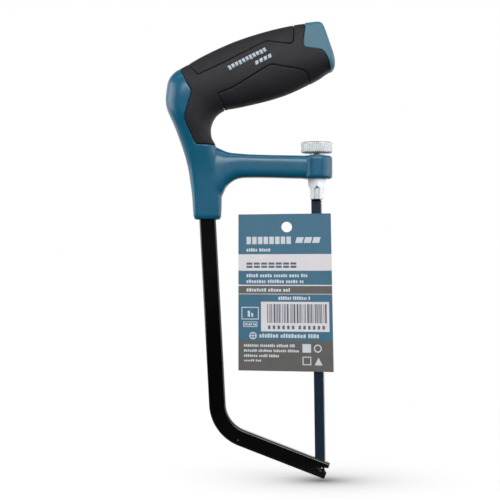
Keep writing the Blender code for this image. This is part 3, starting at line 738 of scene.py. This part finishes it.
def make_tube():
    outer = tube_solid("saw_frame_tube", TUBE_HALF, TUBE_CORNER, 0.0, 0.0, ENAMEL)
    cut(outer, tube_solid("bore", TUBE_HALF - TUBE_WALL, 0.5, -TUBE_WALL, 4.0))
    cut(outer, block("blade_slot", (-9.5, -BLADE_SLOT, -10), (5, BLADE_SLOT, 10), nose_frame()))
    x, z = LOWER_PIN
    slope = Matrix.Translation(Vector((x, 0, z)) * MM) @ Matrix.Rotation(math.radians(9.0), 4, "Y")
    notch = block("notch", (0, -20, -NOTCH_HALF), (12, 20, NOTCH_HALF), slope)
    join(notch, cross_bore("seat", LOWER_PIN, NOTCH_HALF, 20.0))
    cut(outer, notch)
    for height in SOCKET_PIN_HEIGHTS:
        cut(outer, pin_solid("pin_hole", height, 1.6, 12.0))
    return crisp(outer, 0.16, 50.0)


# -------- rod, nut, washer and pins
def make_rod():
    profile = [(0.0, 147.5), (ROD_RADIUS - 0.3, 147.5), (ROD_RADIUS, 147.8), (ROD_RADIUS, 153.2)]
    profile += [(SHANK_RADIUS, 154.8), (SHANK_RADIUS, 165.3), (THREAD_RADIUS, 166.4)]
    root = 2.08
    for k in range(12):
        low = 166.9 + THREAD_PITCH * k
        profile += [(THREAD_RADIUS, low), (root, low + 0.35)]
        profile += [(root, low + 0.45), (THREAD_RADIUS, low + THREAD_PITCH)]
    profile += [(THREAD_RADIUS, 176.6), (2.0, 177.0), (0.0, 177.0)]
    rod = lathe("saw_tension_rod", profile, (ROD_X, 0, 0), looks=ZINC, steps=128)
    square = [(0.0, 140.0), (SHANK_RADIUS, 140.0), (SHANK_RADIUS, 190.0), (0.0, 190.0)]
    bar = lathe("bar", square, (ROD_X, 0, 0), steps=4)
    step = bar.modifiers.new("edge", "BEVEL")
    step.width = 0.28 * MM
    step.segments = 3
    settle(bar)
    within(rod, bar)
    x, z = UPPER_PIN
    cut(rod, block("slot", (ROD_X - 9, -BLADE_SLOT, 140), (ROD_X + 9, BLADE_SLOT, z + 3.7)))
    cut(rod, block("pin_pocket", (x - 1.1, -2.3, z - 1.1), (ROD_X + 9, 2.3, z + 1.1)))
    return crisp(rod, 0.09, 30.0)


def make_nut():
    """A collared thumb nut: rippled ribs round its side, rounded rims and a shallow dish in its top."""
    ribs = 48
    per_rib = 8
    rib_depth = 0.38

    def ripple(k, steps, radius, height):
        if not 172.45 < height < 177.45 or radius < 7.0:
            return radius
        wave = 0.5 - 0.5 * math.cos(2 * math.pi * (k % per_rib) / per_rib)
        return radius - rib_depth * wave ** 1.6

    profile = [(2.7, 170.75), (3.75, 170.75), (3.9, 170.9), (3.9, 171.9), (4.05, 172.0)]
    profile += [(7.25, 172.0), (7.75, 172.12), (8.2, 172.4)]
    profile += [(NUT_RADIUS, 172.75 + 4.4 * k / 10) for k in range(11)]
    profile += [(8.25, 177.5), (7.8, 177.78), (7.25, 177.9), (4.4, 177.9)]
    profile += [(4.2, 177.75), (3.3, 177.7), (2.95, 177.6), (2.7, 177.35)]
    return lathe("saw_thumb_nut", profile, (ROD_X, 0, 0), looks=ZINC, steps=ribs * per_rib, ripple=ripple)


def make_washer():
    profile = [(3.0, 169.5), (5.05, 169.5), (5.2, 169.65), (5.2, 170.25)]
    profile += [(5.05, 170.4), (3.15, 170.4), (3.0, 170.25)]
    return lathe("saw_thrust_washer", profile, (ROD_X, 0, 0), looks=ZINC)


def make_cross_pin(name, at, radius, half_length, ease, look):
    profile = [(0.0, -half_length)]
    profile += [(radius - ease, -half_length), (radius, -half_length + ease)]
    profile += [(radius, half_length - ease), (radius - ease, half_length), (0.0, half_length)]
    return lathe(name, profile, (at[0], 0, at[1]), (0, 1, 0), 48, look)


# -------- blade
def blade_frame():
    down = (Vector(LOWER_PIN) - Vector(UPPER_PIN)).normalized()
    turn = Matrix(((-down.y, 0, down.x), (0, 1, 0), (-down.x, 0, -down.y))).transposed().to_4x4()
    return Matrix.Translation(Vector((UPPER_PIN[0], 0, UPPER_PIN[1])) * MM) @ turn


def make_blade():
    """The blade in its own frame: X towards the teeth, -Z along it. Its teeth lean in a wavy set."""
    length = (Vector(LOWER_PIN) - Vector(UPPER_PIN)).length
    top, bottom = BLADE_END, -length - BLADE_END
    pitch = INCH / TEETH_PER_INCH
    half = BLADE_THICKNESS / 2
    teeth = int((top - bottom - 10.0) / pitch)
    first = bottom + 5.0
    heights = [bottom, bottom + 2.5] + [first + k * pitch for k in range(teeth + 1)] + [top - 2.0, top]
    across = ((-BLADE_BACK, 0.16), (-2.45, half), (1.9, half), (2.35, 0.31))  # (X, half thickness)
    bm = bmesh.new()
    rows = []
    for z in heights:
        front = [bm.verts.new((x * MM, -y * MM, z * MM)) for x, y in across]
        back = [bm.verts.new((x * MM, y * MM, z * MM)) for x, y in across]
        rows.append((front, back))
    looks = {}
    for one, two in zip(rows, rows[1:]):
        for side in (0, 1):
            for k in range(len(across) - 1):
                face = bm.faces.new((one[side][k], one[side][k + 1], two[side][k + 1], two[side][k]))
                looks[face] = 1 if k == 2 else 0
        looks[bm.faces.new((one[0][0], two[0][0], two[1][0], one[1][0]))] = 0
    for k, (one, two) in enumerate(zip(rows, rows[1:])):
        low = (one[0][-1], one[1][-1])
        high = (two[0][-1], two[1][-1])
        tooth = k - 2
        if 0 <= tooth < teeth:
            lean = 0.13 * math.sin(2 * math.pi * tooth / 9.0)
            z = heights[k] + 0.14 * pitch
            tips = [bm.verts.new((BLADE_TIPS * MM, (lean + y) * MM, z * MM)) for y in (-0.27, 0.27)]
            made = [
                bm.faces.new((low[0], tips[0], high[0])),
                bm.faces.new((low[1], high[1], tips[1])),
                bm.faces.new((low[0], low[1], tips[1], tips[0])),
                bm.faces.new((tips[0], tips[1], high[1], high[0])),
            ]
        else:
            made = [bm.faces.new((low[0], high[0], high[1], low[1]))]
        for face in made:
            looks[face] = 1
    for front, back in (rows[0], rows[-1]):
        looks[bm.faces.new(front + back[::-1])] = 0
    for face, index in looks.items():
        face.material_index = index
    bmesh.ops.transform(bm, matrix=blade_frame(), verts=bm.verts)
    blade = from_bmesh("saw_blade", bm, [BLADE, TEETH])
    for pin in (UPPER_PIN, LOWER_PIN):
        cut(blade, cross_bore("eye", pin, EYE_RADIUS, 3.0, looks=BLADE))
    return shade(blade, 25.0)


# -------- card tag and its print
FOLD = CARD_INNER + CARD_THICKNESS
BANDS = (  # (low Z, high Z, look): 1 blue-green, 2 white, 3 grey
    (CARD_LOW, 73.0, 3), (73.0, 97.3, 1), (97.3, 97.6, 2), (97.6, 101.7, 3), (101.7, 102.3, 2),
    (102.3, 109.7, 1), (109.7, 118.4, 2), (118.4, CARD_HIGH, 1),
)
CODE_LEFT, CODE_RIGHT = 5.9, 42.4
CODE_LOW, CODE_HIGH = 77.8, 93.4


def card_point(x, z, depth, side=-1):
    """A point on one leaf: x, z as printed, depth outwards from the mid plane, on the front for side -1."""
    v = (z - CARD_LOW) / (CARD_HIGH - CARD_LOW)
    right = CARD_RIGHT_LOW + (CARD_RIGHT_HIGH - CARD_RIGHT_LOW) * v
    u = (x - CARD_LEFT) / (CARD_RIGHT_LOW - CARD_LEFT)
    low = CARD_LOW - CARD_FALL * u
    high = CARD_HIGH + CARD_RISE * u
    reach = CARD_LEFT + u * (right - CARD_LEFT)
    swell = 0.5 + 0.5 * math.cos(math.pi * (v - 0.3))
    bow = 0.16 * math.sin(math.pi * min(max(u, 0.0), 1.0)) ** 2 * swell
    return Vector((reach, side * (depth + bow), low + (high - low) * v))


def make_card():
    stops = sorted({CARD_LEFT, CODE_LEFT, CODE_RIGHT, 43.2} | {CARD_LEFT + 4.0 * k for k in range(1, 12)})
    edges = {z for low, high, _ in BANDS for z in (low, high)} | {CODE_LOW, CODE_HIGH}
    levels = sorted(edges | {CARD_LOW + 3.3 * k for k in range(1, 25)})
    levels = [z for i, z in enumerate(levels) if i == 0 or z - levels[i - 1] > 0.05]
    arc = 10
    bm = bmesh.new()

    def column(depth):
        """Points across the card at one level, from the front leaf round the fold to the back one."""
        def at(z):
            points = [card_point(x, z, depth) for x in stops]
            edge = card_point(CARD_RIGHT_LOW, z, 0.0)
            middle = edge.x - FOLD
            points = [p for p in points if p.x < middle - 0.2]
            for k in range(arc + 1):
                turn = math.pi * k / arc
                points.append(Vector((middle + depth * math.sin(turn), -depth * math.cos(turn), edge.z)))
            flat = [card_point(x, z, depth, 1) for x in stops if card_point(x, z, depth).x < middle - 0.2]
            return points + flat[::-1]
        return at

    outer_at, inner_at = column(FOLD), column(CARD_INNER)
    outer = [[bm.verts.new(p * MM) for p in outer_at(z)] for z in levels]
    inner = [[bm.verts.new(p * MM) for p in inner_at(z)] for z in levels]
    count = len(outer[0])
    for i in range(len(levels) - 1):
        z = (levels[i] + levels[i + 1]) / 2
        band = next(look for low, high, look in BANDS if low <= z <= high)
        for k in range(count - 1):
            face = bm.faces.new((outer[i][k], outer[i][k + 1], outer[i + 1][k + 1], outer[i + 1][k]))
            x = sum(v.co.x for v in face.verts) / 4 / MM
            front = face.verts[0].co.y < 0 and face.verts[1].co.y < 0
            boxed = front and CODE_LEFT < x < CODE_RIGHT - 0.3 and CODE_LOW < z < CODE_HIGH
            face.material_index = 2 if boxed else band
            bm.faces.new((inner[i][k], inner[i + 1][k], inner[i + 1][k + 1], inner[i][k + 1]))
        for k in (0, count - 1):
            bm.faces.new((outer[i][k], outer[i + 1][k], inner[i + 1][k], inner[i][k]))
    for i in (0, len(levels) - 1):
        for k in range(count - 1):
            bm.faces.new((outer[i][k], outer[i][k + 1], inner[i][k + 1], inner[i][k]))
    card = from_bmesh("saw_hang_tag", bm, [CARD_EDGE, CARD_TEAL, CARD_WHITE, CARD_GREY])
    cut(card, cross_bore("hole", HANG_HOLE, HANG_HOLE_RADIUS, 5.0, 64, CARD_EDGE))
    return shade(card)


class Print:
    """Flat marks a hair proud of one leaf of the card, gathered into one mesh."""

    def __init__(self, side=-1):
        self.bm = bmesh.new()
        self.side = side

    def shape(self, outline):
        top, under = (
            [self.bm.verts.new(card_point(x, z, FOLD + lift, self.side) * MM) for x, z in outline]
            for lift in (0.03, -0.05)
        )
        faces = [self.bm.faces.new(top), self.bm.faces.new(under[::-1])]
        for k in range(len(outline)):
            n = (k + 1) % len(outline)
            self.bm.faces.new((top[k], under[k], under[n], top[n]))
        bmesh.ops.triangulate(self.bm, faces=faces)

    def bar(self, x0, x1, z0, z1, slant=0.0):
        self.shape([(x0, z0), (x1, z0), (x1 + slant, z1), (x0 + slant, z1)])

    def words(self, x0, x1, z0, z1, letter, seed):
        """A line of small plain blocks with gaps, where a line of print would be."""
        dice = random.Random(seed)
        x = x0
        left = dice.randint(4, 9)
        while x + letter * 0.6 < x1:
            width = letter * dice.uniform(0.55, 0.85)
            rise = dice.choice((1.0, 0.78, 0.78, 0.9))
            self.bar(x, min(x + width, x1), z0, z0 + (z1 - z0) * rise)
            x += width + letter * 0.28
            left -= 1
            if left == 0:
                x += letter * 0.6
                left = dice.randint(4, 9)

    def ring(self, x, z, radius, width, points=40):
        inner = radius - width
        for k in range(points):
            a, b = (2 * math.pi * i / points for i in (k, k + 1))
            corners = ((inner, a), (radius, a), (radius, b), (inner, b))
            self.shape([(x + reach * math.cos(turn), z + reach * math.sin(turn)) for reach, turn in corners])

    def frame(self, x0, x1, z0, z1, width):
        self.bar(x0, x1, z0, z0 + width)
        self.bar(x0, x1, z1 - width, z1)
        self.bar(x0, x0 + width, z0 + width, z1 - width)
        self.bar(x1 - width, x1, z0 + width, z1 - width)

    def finish(self, name, look):
        return from_bmesh(name, self.bm, look)


def make_print():
    pale = Print()
    for k in range(8):
        pale.bar(-1.8 + 3.1 * k, 0.6 + 3.1 * k, 123.7, 127.6)
    for k in range(3):
        pale.bar(24.6 + 4.6 * k, 28.4 + 4.6 * k, 124.2, 127.2, 0.9)
    pale.words(-1.8, 12.1, 119.8, 121.6, 1.25, 3)
    pale.words(-1.8, 31.7, 106.3, 108.1, 1.35, 4)
    pale.words(-1.8, 29.6, 103.2, 105.0, 1.35, 5)
    pale.words(-1.8, 21.9, 98.7, 100.5, 1.35, 6)
    pale.words(15.3, 32.8, 94.4, 96.2, 1.15, 7)
    pale.frame(-4.5, 4.7, 84.0, 90.6, 0.45)
    pale.bar(-1.2, 0.0, 85.4, 88.6)
    pale.bar(0.7, 1.7, 85.4, 87.4)
    pale.frame(-3.6, 3.9, 80.1, 82.9, 0.35)
    pale.words(-3.0, 3.3, 80.9, 82.1, 0.9, 8)
    pale.ring(1.6, 75.5, 1.95, 0.55)
    pale.bar(-0.1, 3.3, 75.3, 75.7)
    pale.bar(1.4, 1.8, 73.9, 77.1)
    pale.words(5.0, 37.6, 74.5, 76.6, 1.5, 9)
    pale.words(-3.2, 24.3, 69.6, 71.2, 1.05, 10)
    pale.words(-3.2, 25.9, 67.0, 68.4, 1.05, 11)
    pale.words(-3.2, 15.3, 64.3, 65.7, 1.05, 12)
    pale.words(-3.2, 5.8, 61.9, 63.0, 0.95, 13)
    pale.bar(27.8, 32.4, 66.9, 71.4)
    pale.ring(36.0, 69.1, 2.1, 0.6)
    pale.frame(27.8, 32.4, 60.4, 64.8, 0.5)
    pale.shape([(34.2, 60.4), (38.4, 60.4), (36.3, 64.4)])
    dark = Print()
    for k in range(7):
        for low in (111.2, 112.9):
            dark.bar(-1.8 + 3.95 * k, 1.4 + 3.95 * k, low, low + 1.1)
    dice = random.Random(77)
    x = 9.2
    while x < 41.0:
        width = dice.choice((0.3, 0.3, 0.45, 0.6, 0.9))
        dark.bar(x, min(x + width, 41.2), 82.3, 92.2)
        x += width + dice.choice((0.35, 0.35, 0.5, 0.75))
    for k in range(12):
        start = 9.6 + k * 2.55 + (1.0 if k > 5 else 0.0)
        dark.bar(start, start + 1.3, 79.0, 80.9)
    back = Print(1)
    back.bar(2.0, 34.0, 124.0, 128.0)
    for k in range(9):
        back.words(-2.0, 38.0 - 3.0 * (k % 3), 93.0 - 2.9 * k, 94.4 - 2.9 * k, 1.1, 40 + k)
    return (
        pale.finish("saw_tag_print_pale", INK_PALE),
        dark.finish("saw_tag_print_dark", INK_DARK),
        back.finish("saw_tag_print_back", INK_PALE),
    )


def make_glue():
    bm = bmesh.new()
    bmesh.ops.create_grid(bm, x_segments=6, y_segments=60, size=0.5)
    for v in bm.verts:
        u, w = v.co.x + 0.5, v.co.y + 0.5
        ragged = 0.25 * math.sin(w * 37.0) + 0.15 * math.sin(w * 91.0 + 1.0)
        x = -5.3 + (2.8 + ragged) * u
        z = 60.2 + 75.4 * w
        v.co = Vector((x, -0.33, z)) * MM
    bmesh.ops.solidify(bm, geom=bm.faces[:] + bm.verts[:] + bm.edges[:], thickness=-0.66 * MM)
    return shade(from_bmesh("saw_tag_glue", bm, GLUE), 40.0)


# -------- print on the grip
def grip_blocks(name, target, side, look):
    """Two rows of plain blocks on the side of the grip, shaped to its surface."""
    bm = bmesh.new()
    mesh = target.data
    tree = BVHTree.FromPolygons([v.co for v in mesh.vertices], [p.vertices for p in mesh.polygons])
    tilt = math.radians(27.0)
    run = Vector((math.cos(tilt), math.sin(tilt)))
    up = Vector((-run.y, run.x))

    def on_grip(u, w, lift):
        flat = Vector((-1.3, 220.6)) + run * u + up * w
        start = Vector((flat.x, side * 30.0, flat.y)) * MM
        hit, normal, _, _ = tree.ray_cast(start, Vector((0, -side, 0)))
        outward = normal if normal.y * side > 0 else -normal
        return hit + outward * lift * MM

    def patch(u0, u1, w0, w1, slant):
        """One slanted block, as a small grid laid on the grip."""
        cols = max(2, round((u1 - u0) / 0.7))
        rows = max(2, round((w1 - w0) / 0.7))
        grids = []
        for lift in (0.05, -0.12):
            grid = []
            for j in range(rows + 1):
                w = w0 + (w1 - w0) * j / rows
                across = [u0 + (u1 - u0) * i / cols + slant * (w - w0) for i in range(cols + 1)]
                grid.append([bm.verts.new(on_grip(u, w, lift)) for u in across])
            grids.append(grid)
        for grid in grids:
            for j in range(rows):
                for i in range(cols):
                    bm.faces.new((grid[j][i], grid[j][i + 1], grid[j + 1][i + 1], grid[j + 1][i]))
        top, under = grids
        border = [(0, i) for i in range(cols)] + [(j, cols) for j in range(rows)]
        border += [(rows, i) for i in range(cols, 0, -1)] + [(j, 0) for j in range(rows, 0, -1)]
        for (a, b), (c, d) in zip(border, border[1:] + border[:1]):
            bm.faces.new((top[a][b], top[c][d], under[c][d], under[a][b]))

    for k in range(11):
        start = -11.2 + 2.04 * k
        patch(start, start + 1.5, -1.0 if k % 3 else -1.25, 1.15, 0.0)
    for k in range(4):
        start = 2.2 + 2.5 * k
        patch(start, start + 1.8, -5.1, -3.1, 0.25)
    made = from_bmesh(name, bm, look)
    made.data.shade_smooth()
    return made


# -------- put together
def place(obj, body, slot, *nodes):
    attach(obj, body)
    if nodes:
        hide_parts(*nodes)
    return obj


place(make_casting(), "frame", "blue_paint", "handle_casting")
place(make_cap(), "frame", "blue_cap", "end_cap")
sleeve = place(make_sleeve(), "frame", "grip_black", "grip_sleeve")
place(make_pad("saw_palm_pad", PALM_LINE, PALM), "frame", "pad_black", "palm_pad")
place(make_pad("saw_finger_pad", FINGER_LINE, FINGER), "frame", "pad_black", "finger_pad")
place(grip_blocks("saw_grip_print_front", sleeve, -1, INK_GRIP), "frame", "grip_black")
place(make_tube(), "frame", "black_enamel", "frame_tube")
place(make_washer(), "frame", "zinc_plate", "thrust_washer")
cap_pin = make_cross_pin("saw_cap_pin", CAP_PIN_AT, CAP_PIN_RADIUS, 4.3, 0.2, PIN)
place(cap_pin, "frame", "pin_steel", "cap_pin")
for label, height in zip(("lower", "upper"), SOCKET_PIN_HEIGHTS):
    socket_pin = pin_solid("saw_socket_pin_" + label, height, SOCKET_PIN_RADIUS, 7.4)
    place(socket_pin, "frame", "pin_steel", "socket_pin_" + label)
place(make_nut(), "nut", "zinc_plate", "thumb_nut")
place(make_rod(), "rod", "zinc_plate", "tension_rod")
place(make_blade(), "blade_body", "blade_blue", "blade")
upper_pin = make_cross_pin("saw_upper_blade_pin", UPPER_PIN, BLADE_PIN_RADIUS, 2.0, 0.15, PIN)
place(upper_pin, "blade_body", "pin_steel", "upper_blade_pin")
lower_pin = make_cross_pin("saw_lower_blade_pin", LOWER_PIN, BLADE_PIN_RADIUS, 4.3, 0.15, DARK_PIN)
place(lower_pin, "blade_body", "pin_steel", "lower_blade_pin")
place(make_card(), "tag", "card", "hang_tag")
for mark in make_print():
    place(mark, "tag", "card")
place(make_glue(), "tag", "glue", "tag_glue_strip")


# -------- floor, world, lights and camera
# A shadow painted into the floor round the saw's nose: its centre, reach, fall-off and depth.
PAINTED_SHADOW_AT = (0.037, -0.009, 0.0)  # metres, as all of the stage
PAINTED_SHADOW_REACH = 0.016
PAINTED_SHADOW_FALL = 1.6
PAINTED_SHADOW_DEPTH = 0.92


def make_floor():
    """White paper to the camera, darker in front for reflections, with a painted shadow under the nose."""
    mesh = bpy.data.meshes.new("studio_floor")
    reach = 12.0
    corners = [(-reach, -reach, 0), (reach, -reach, 0), (reach, reach, 0), (-reach, reach, 0)]
    mesh.from_pydata(corners, [], [(0, 1, 2, 3)])
    look = bpy.data.materials.new("studio_white")
    look.use_nodes = True
    tree = look.node_tree
    paper = tree.nodes["Principled BSDF"]
    paper.inputs["Roughness"].default_value = 1.0
    paper.inputs["Specular IOR Level"].default_value = 0.0
    where = node(tree, "ShaderNodeTexCoord").outputs["Object"]
    away = node(tree, "ShaderNodeVectorMath", {0: where, 1: PAINTED_SHADOW_AT}, operation="DISTANCE").outputs["Value"]
    behind = node(tree, "ShaderNodeSeparateXYZ", {0: where}).outputs["Y"]
    camera_ray = node(tree, "ShaderNodeLightPath").outputs["Is Camera Ray"]
    lit = smoothstep(tree, behind, -0.10, 0.02)
    seen = combine(tree, "MAXIMUM", camera_ray, lit)
    base = blend_colour(tree, seen, (0.03, 0.03, 0.03), (0.14, 0.14, 0.14))
    tree.links.new(base, paper.inputs["Base Color"])
    # A painted contact shadow: a soft dark patch painted round the one point that the saw stands on, dimming
    # the floor's glow there.
    spread = combine(tree, "POWER", combine(tree, "DIVIDE", away, PAINTED_SHADOW_REACH), PAINTED_SHADOW_FALL)
    patch = combine(tree, "DIVIDE", PAINTED_SHADOW_DEPTH, combine(tree, "ADD", 1.0, spread))
    painted_shadow_glow = ranged(tree, patch, 0.02, 1.0, 0.92, 0.0)
    glow_colour = blend_colour(tree, camera_ray, (0.0, 0.0, 0.0), (1.0, 1.0, 1.0))
    tree.links.new(glow_colour, paper.inputs["Emission Color"])
    tree.links.new(painted_shadow_glow, paper.inputs["Emission Strength"])
    back = smoothstep(tree, behind, 0.0, 0.4)
    strength = combine(tree, "MAXIMUM", camera_ray, back)
    glow = node(tree, "ShaderNodeEmission", {"Strength": strength})
    mixed = node(tree, "ShaderNodeMixShader", {0: smoothstep(tree, away, 0.10, 0.55)})
    tree.links.new(paper.outputs[0], mixed.inputs[1])
    tree.links.new(glow.outputs[0], mixed.inputs[2])
    tree.links.new(mixed.outputs[0], tree.nodes["Material Output"].inputs["Surface"])
    floor = keep("studio_floor", mesh, look)


def make_world():
    """A light tent: bright behind the saw, dark in front of it and overhead, white to the camera."""
    world = bpy.data.worlds.new("tent")
    world.use_nodes = True
    bpy.context.scene.world = world
    tree = world.node_tree
    direction = node(tree, "ShaderNodeTexCoord").outputs["Generated"]
    axes = node(tree, "ShaderNodeSeparateXYZ", {0: direction})
    back = smoothstep(tree, axes.outputs["Y"], -0.35, 0.0)
    overhead = ranged(tree, smoothstep(tree, axes.outputs["Z"], 0.15, 0.6), 0.0, 1.0, 1.0, 0.12)
    tent = combine(tree, "MULTIPLY", back, overhead)
    level = ranged(tree, tent, 0.0, 1.0, 0.06, 1.0)
    camera_ray = node(tree, "ShaderNodeLightPath").outputs["Is Camera Ray"]
    strength = combine(tree, "MAXIMUM", camera_ray, level)
    background = tree.nodes["Background"]
    background.inputs["Color"].default_value = (1.0, 1.0, 1.0, 1.0)
    tree.links.new(strength, background.inputs["Strength"])


def aim(at, target):
    return (Vector(target) - Vector(at)).to_track_quat("-Z", "Y").to_euler()


def softbox(name, at, target, size, power_watts):
    light = bpy.data.lights.new(name, "AREA")
    light.shape = "RECTANGLE"
    light.size, light.size_y = size
    light.energy = power_watts
    obj = bpy.data.objects.new(name, light)
    bpy.context.scene.collection.objects.link(obj)
    obj.location = at
    obj.rotation_euler = aim(at, target)


def make_camera():
    lens = bpy.data.cameras.new("camera")
    lens.sensor_width = 36.0
    lens.lens = 115.5
    lens.clip_start = 0.01
    camera = bpy.data.objects.new("camera", lens)
    bpy.context.scene.collection.objects.link(camera)
    camera.location = (0.0, -0.85, 0.105)
    camera.rotation_euler = aim(camera.location, (-0.00005, 0.0, 0.1207))
    bpy.context.scene.camera = camera


make_floor()
make_world()
softbox("left_panel", (-0.95, -0.1, 0.25), (0, 0, 0.14), (0.9, 0.9), 6.0)
softbox("right_panel", (0.95, -0.25, 0.25), (0, 0, 0.12), (1.0, 0.9), 4.0)
softbox("front_fill", (0.05, -1.1, 0.65), (0, 0, 0.12), (1.4, 0.4), 12.0)
softbox("top_line", (0.0, -0.25, 0.95), (0, 0, 0.14), (1.2, 0.08), 2.2)
make_camera()
bpy.context.scene.view_settings.view_transform = "Standard"
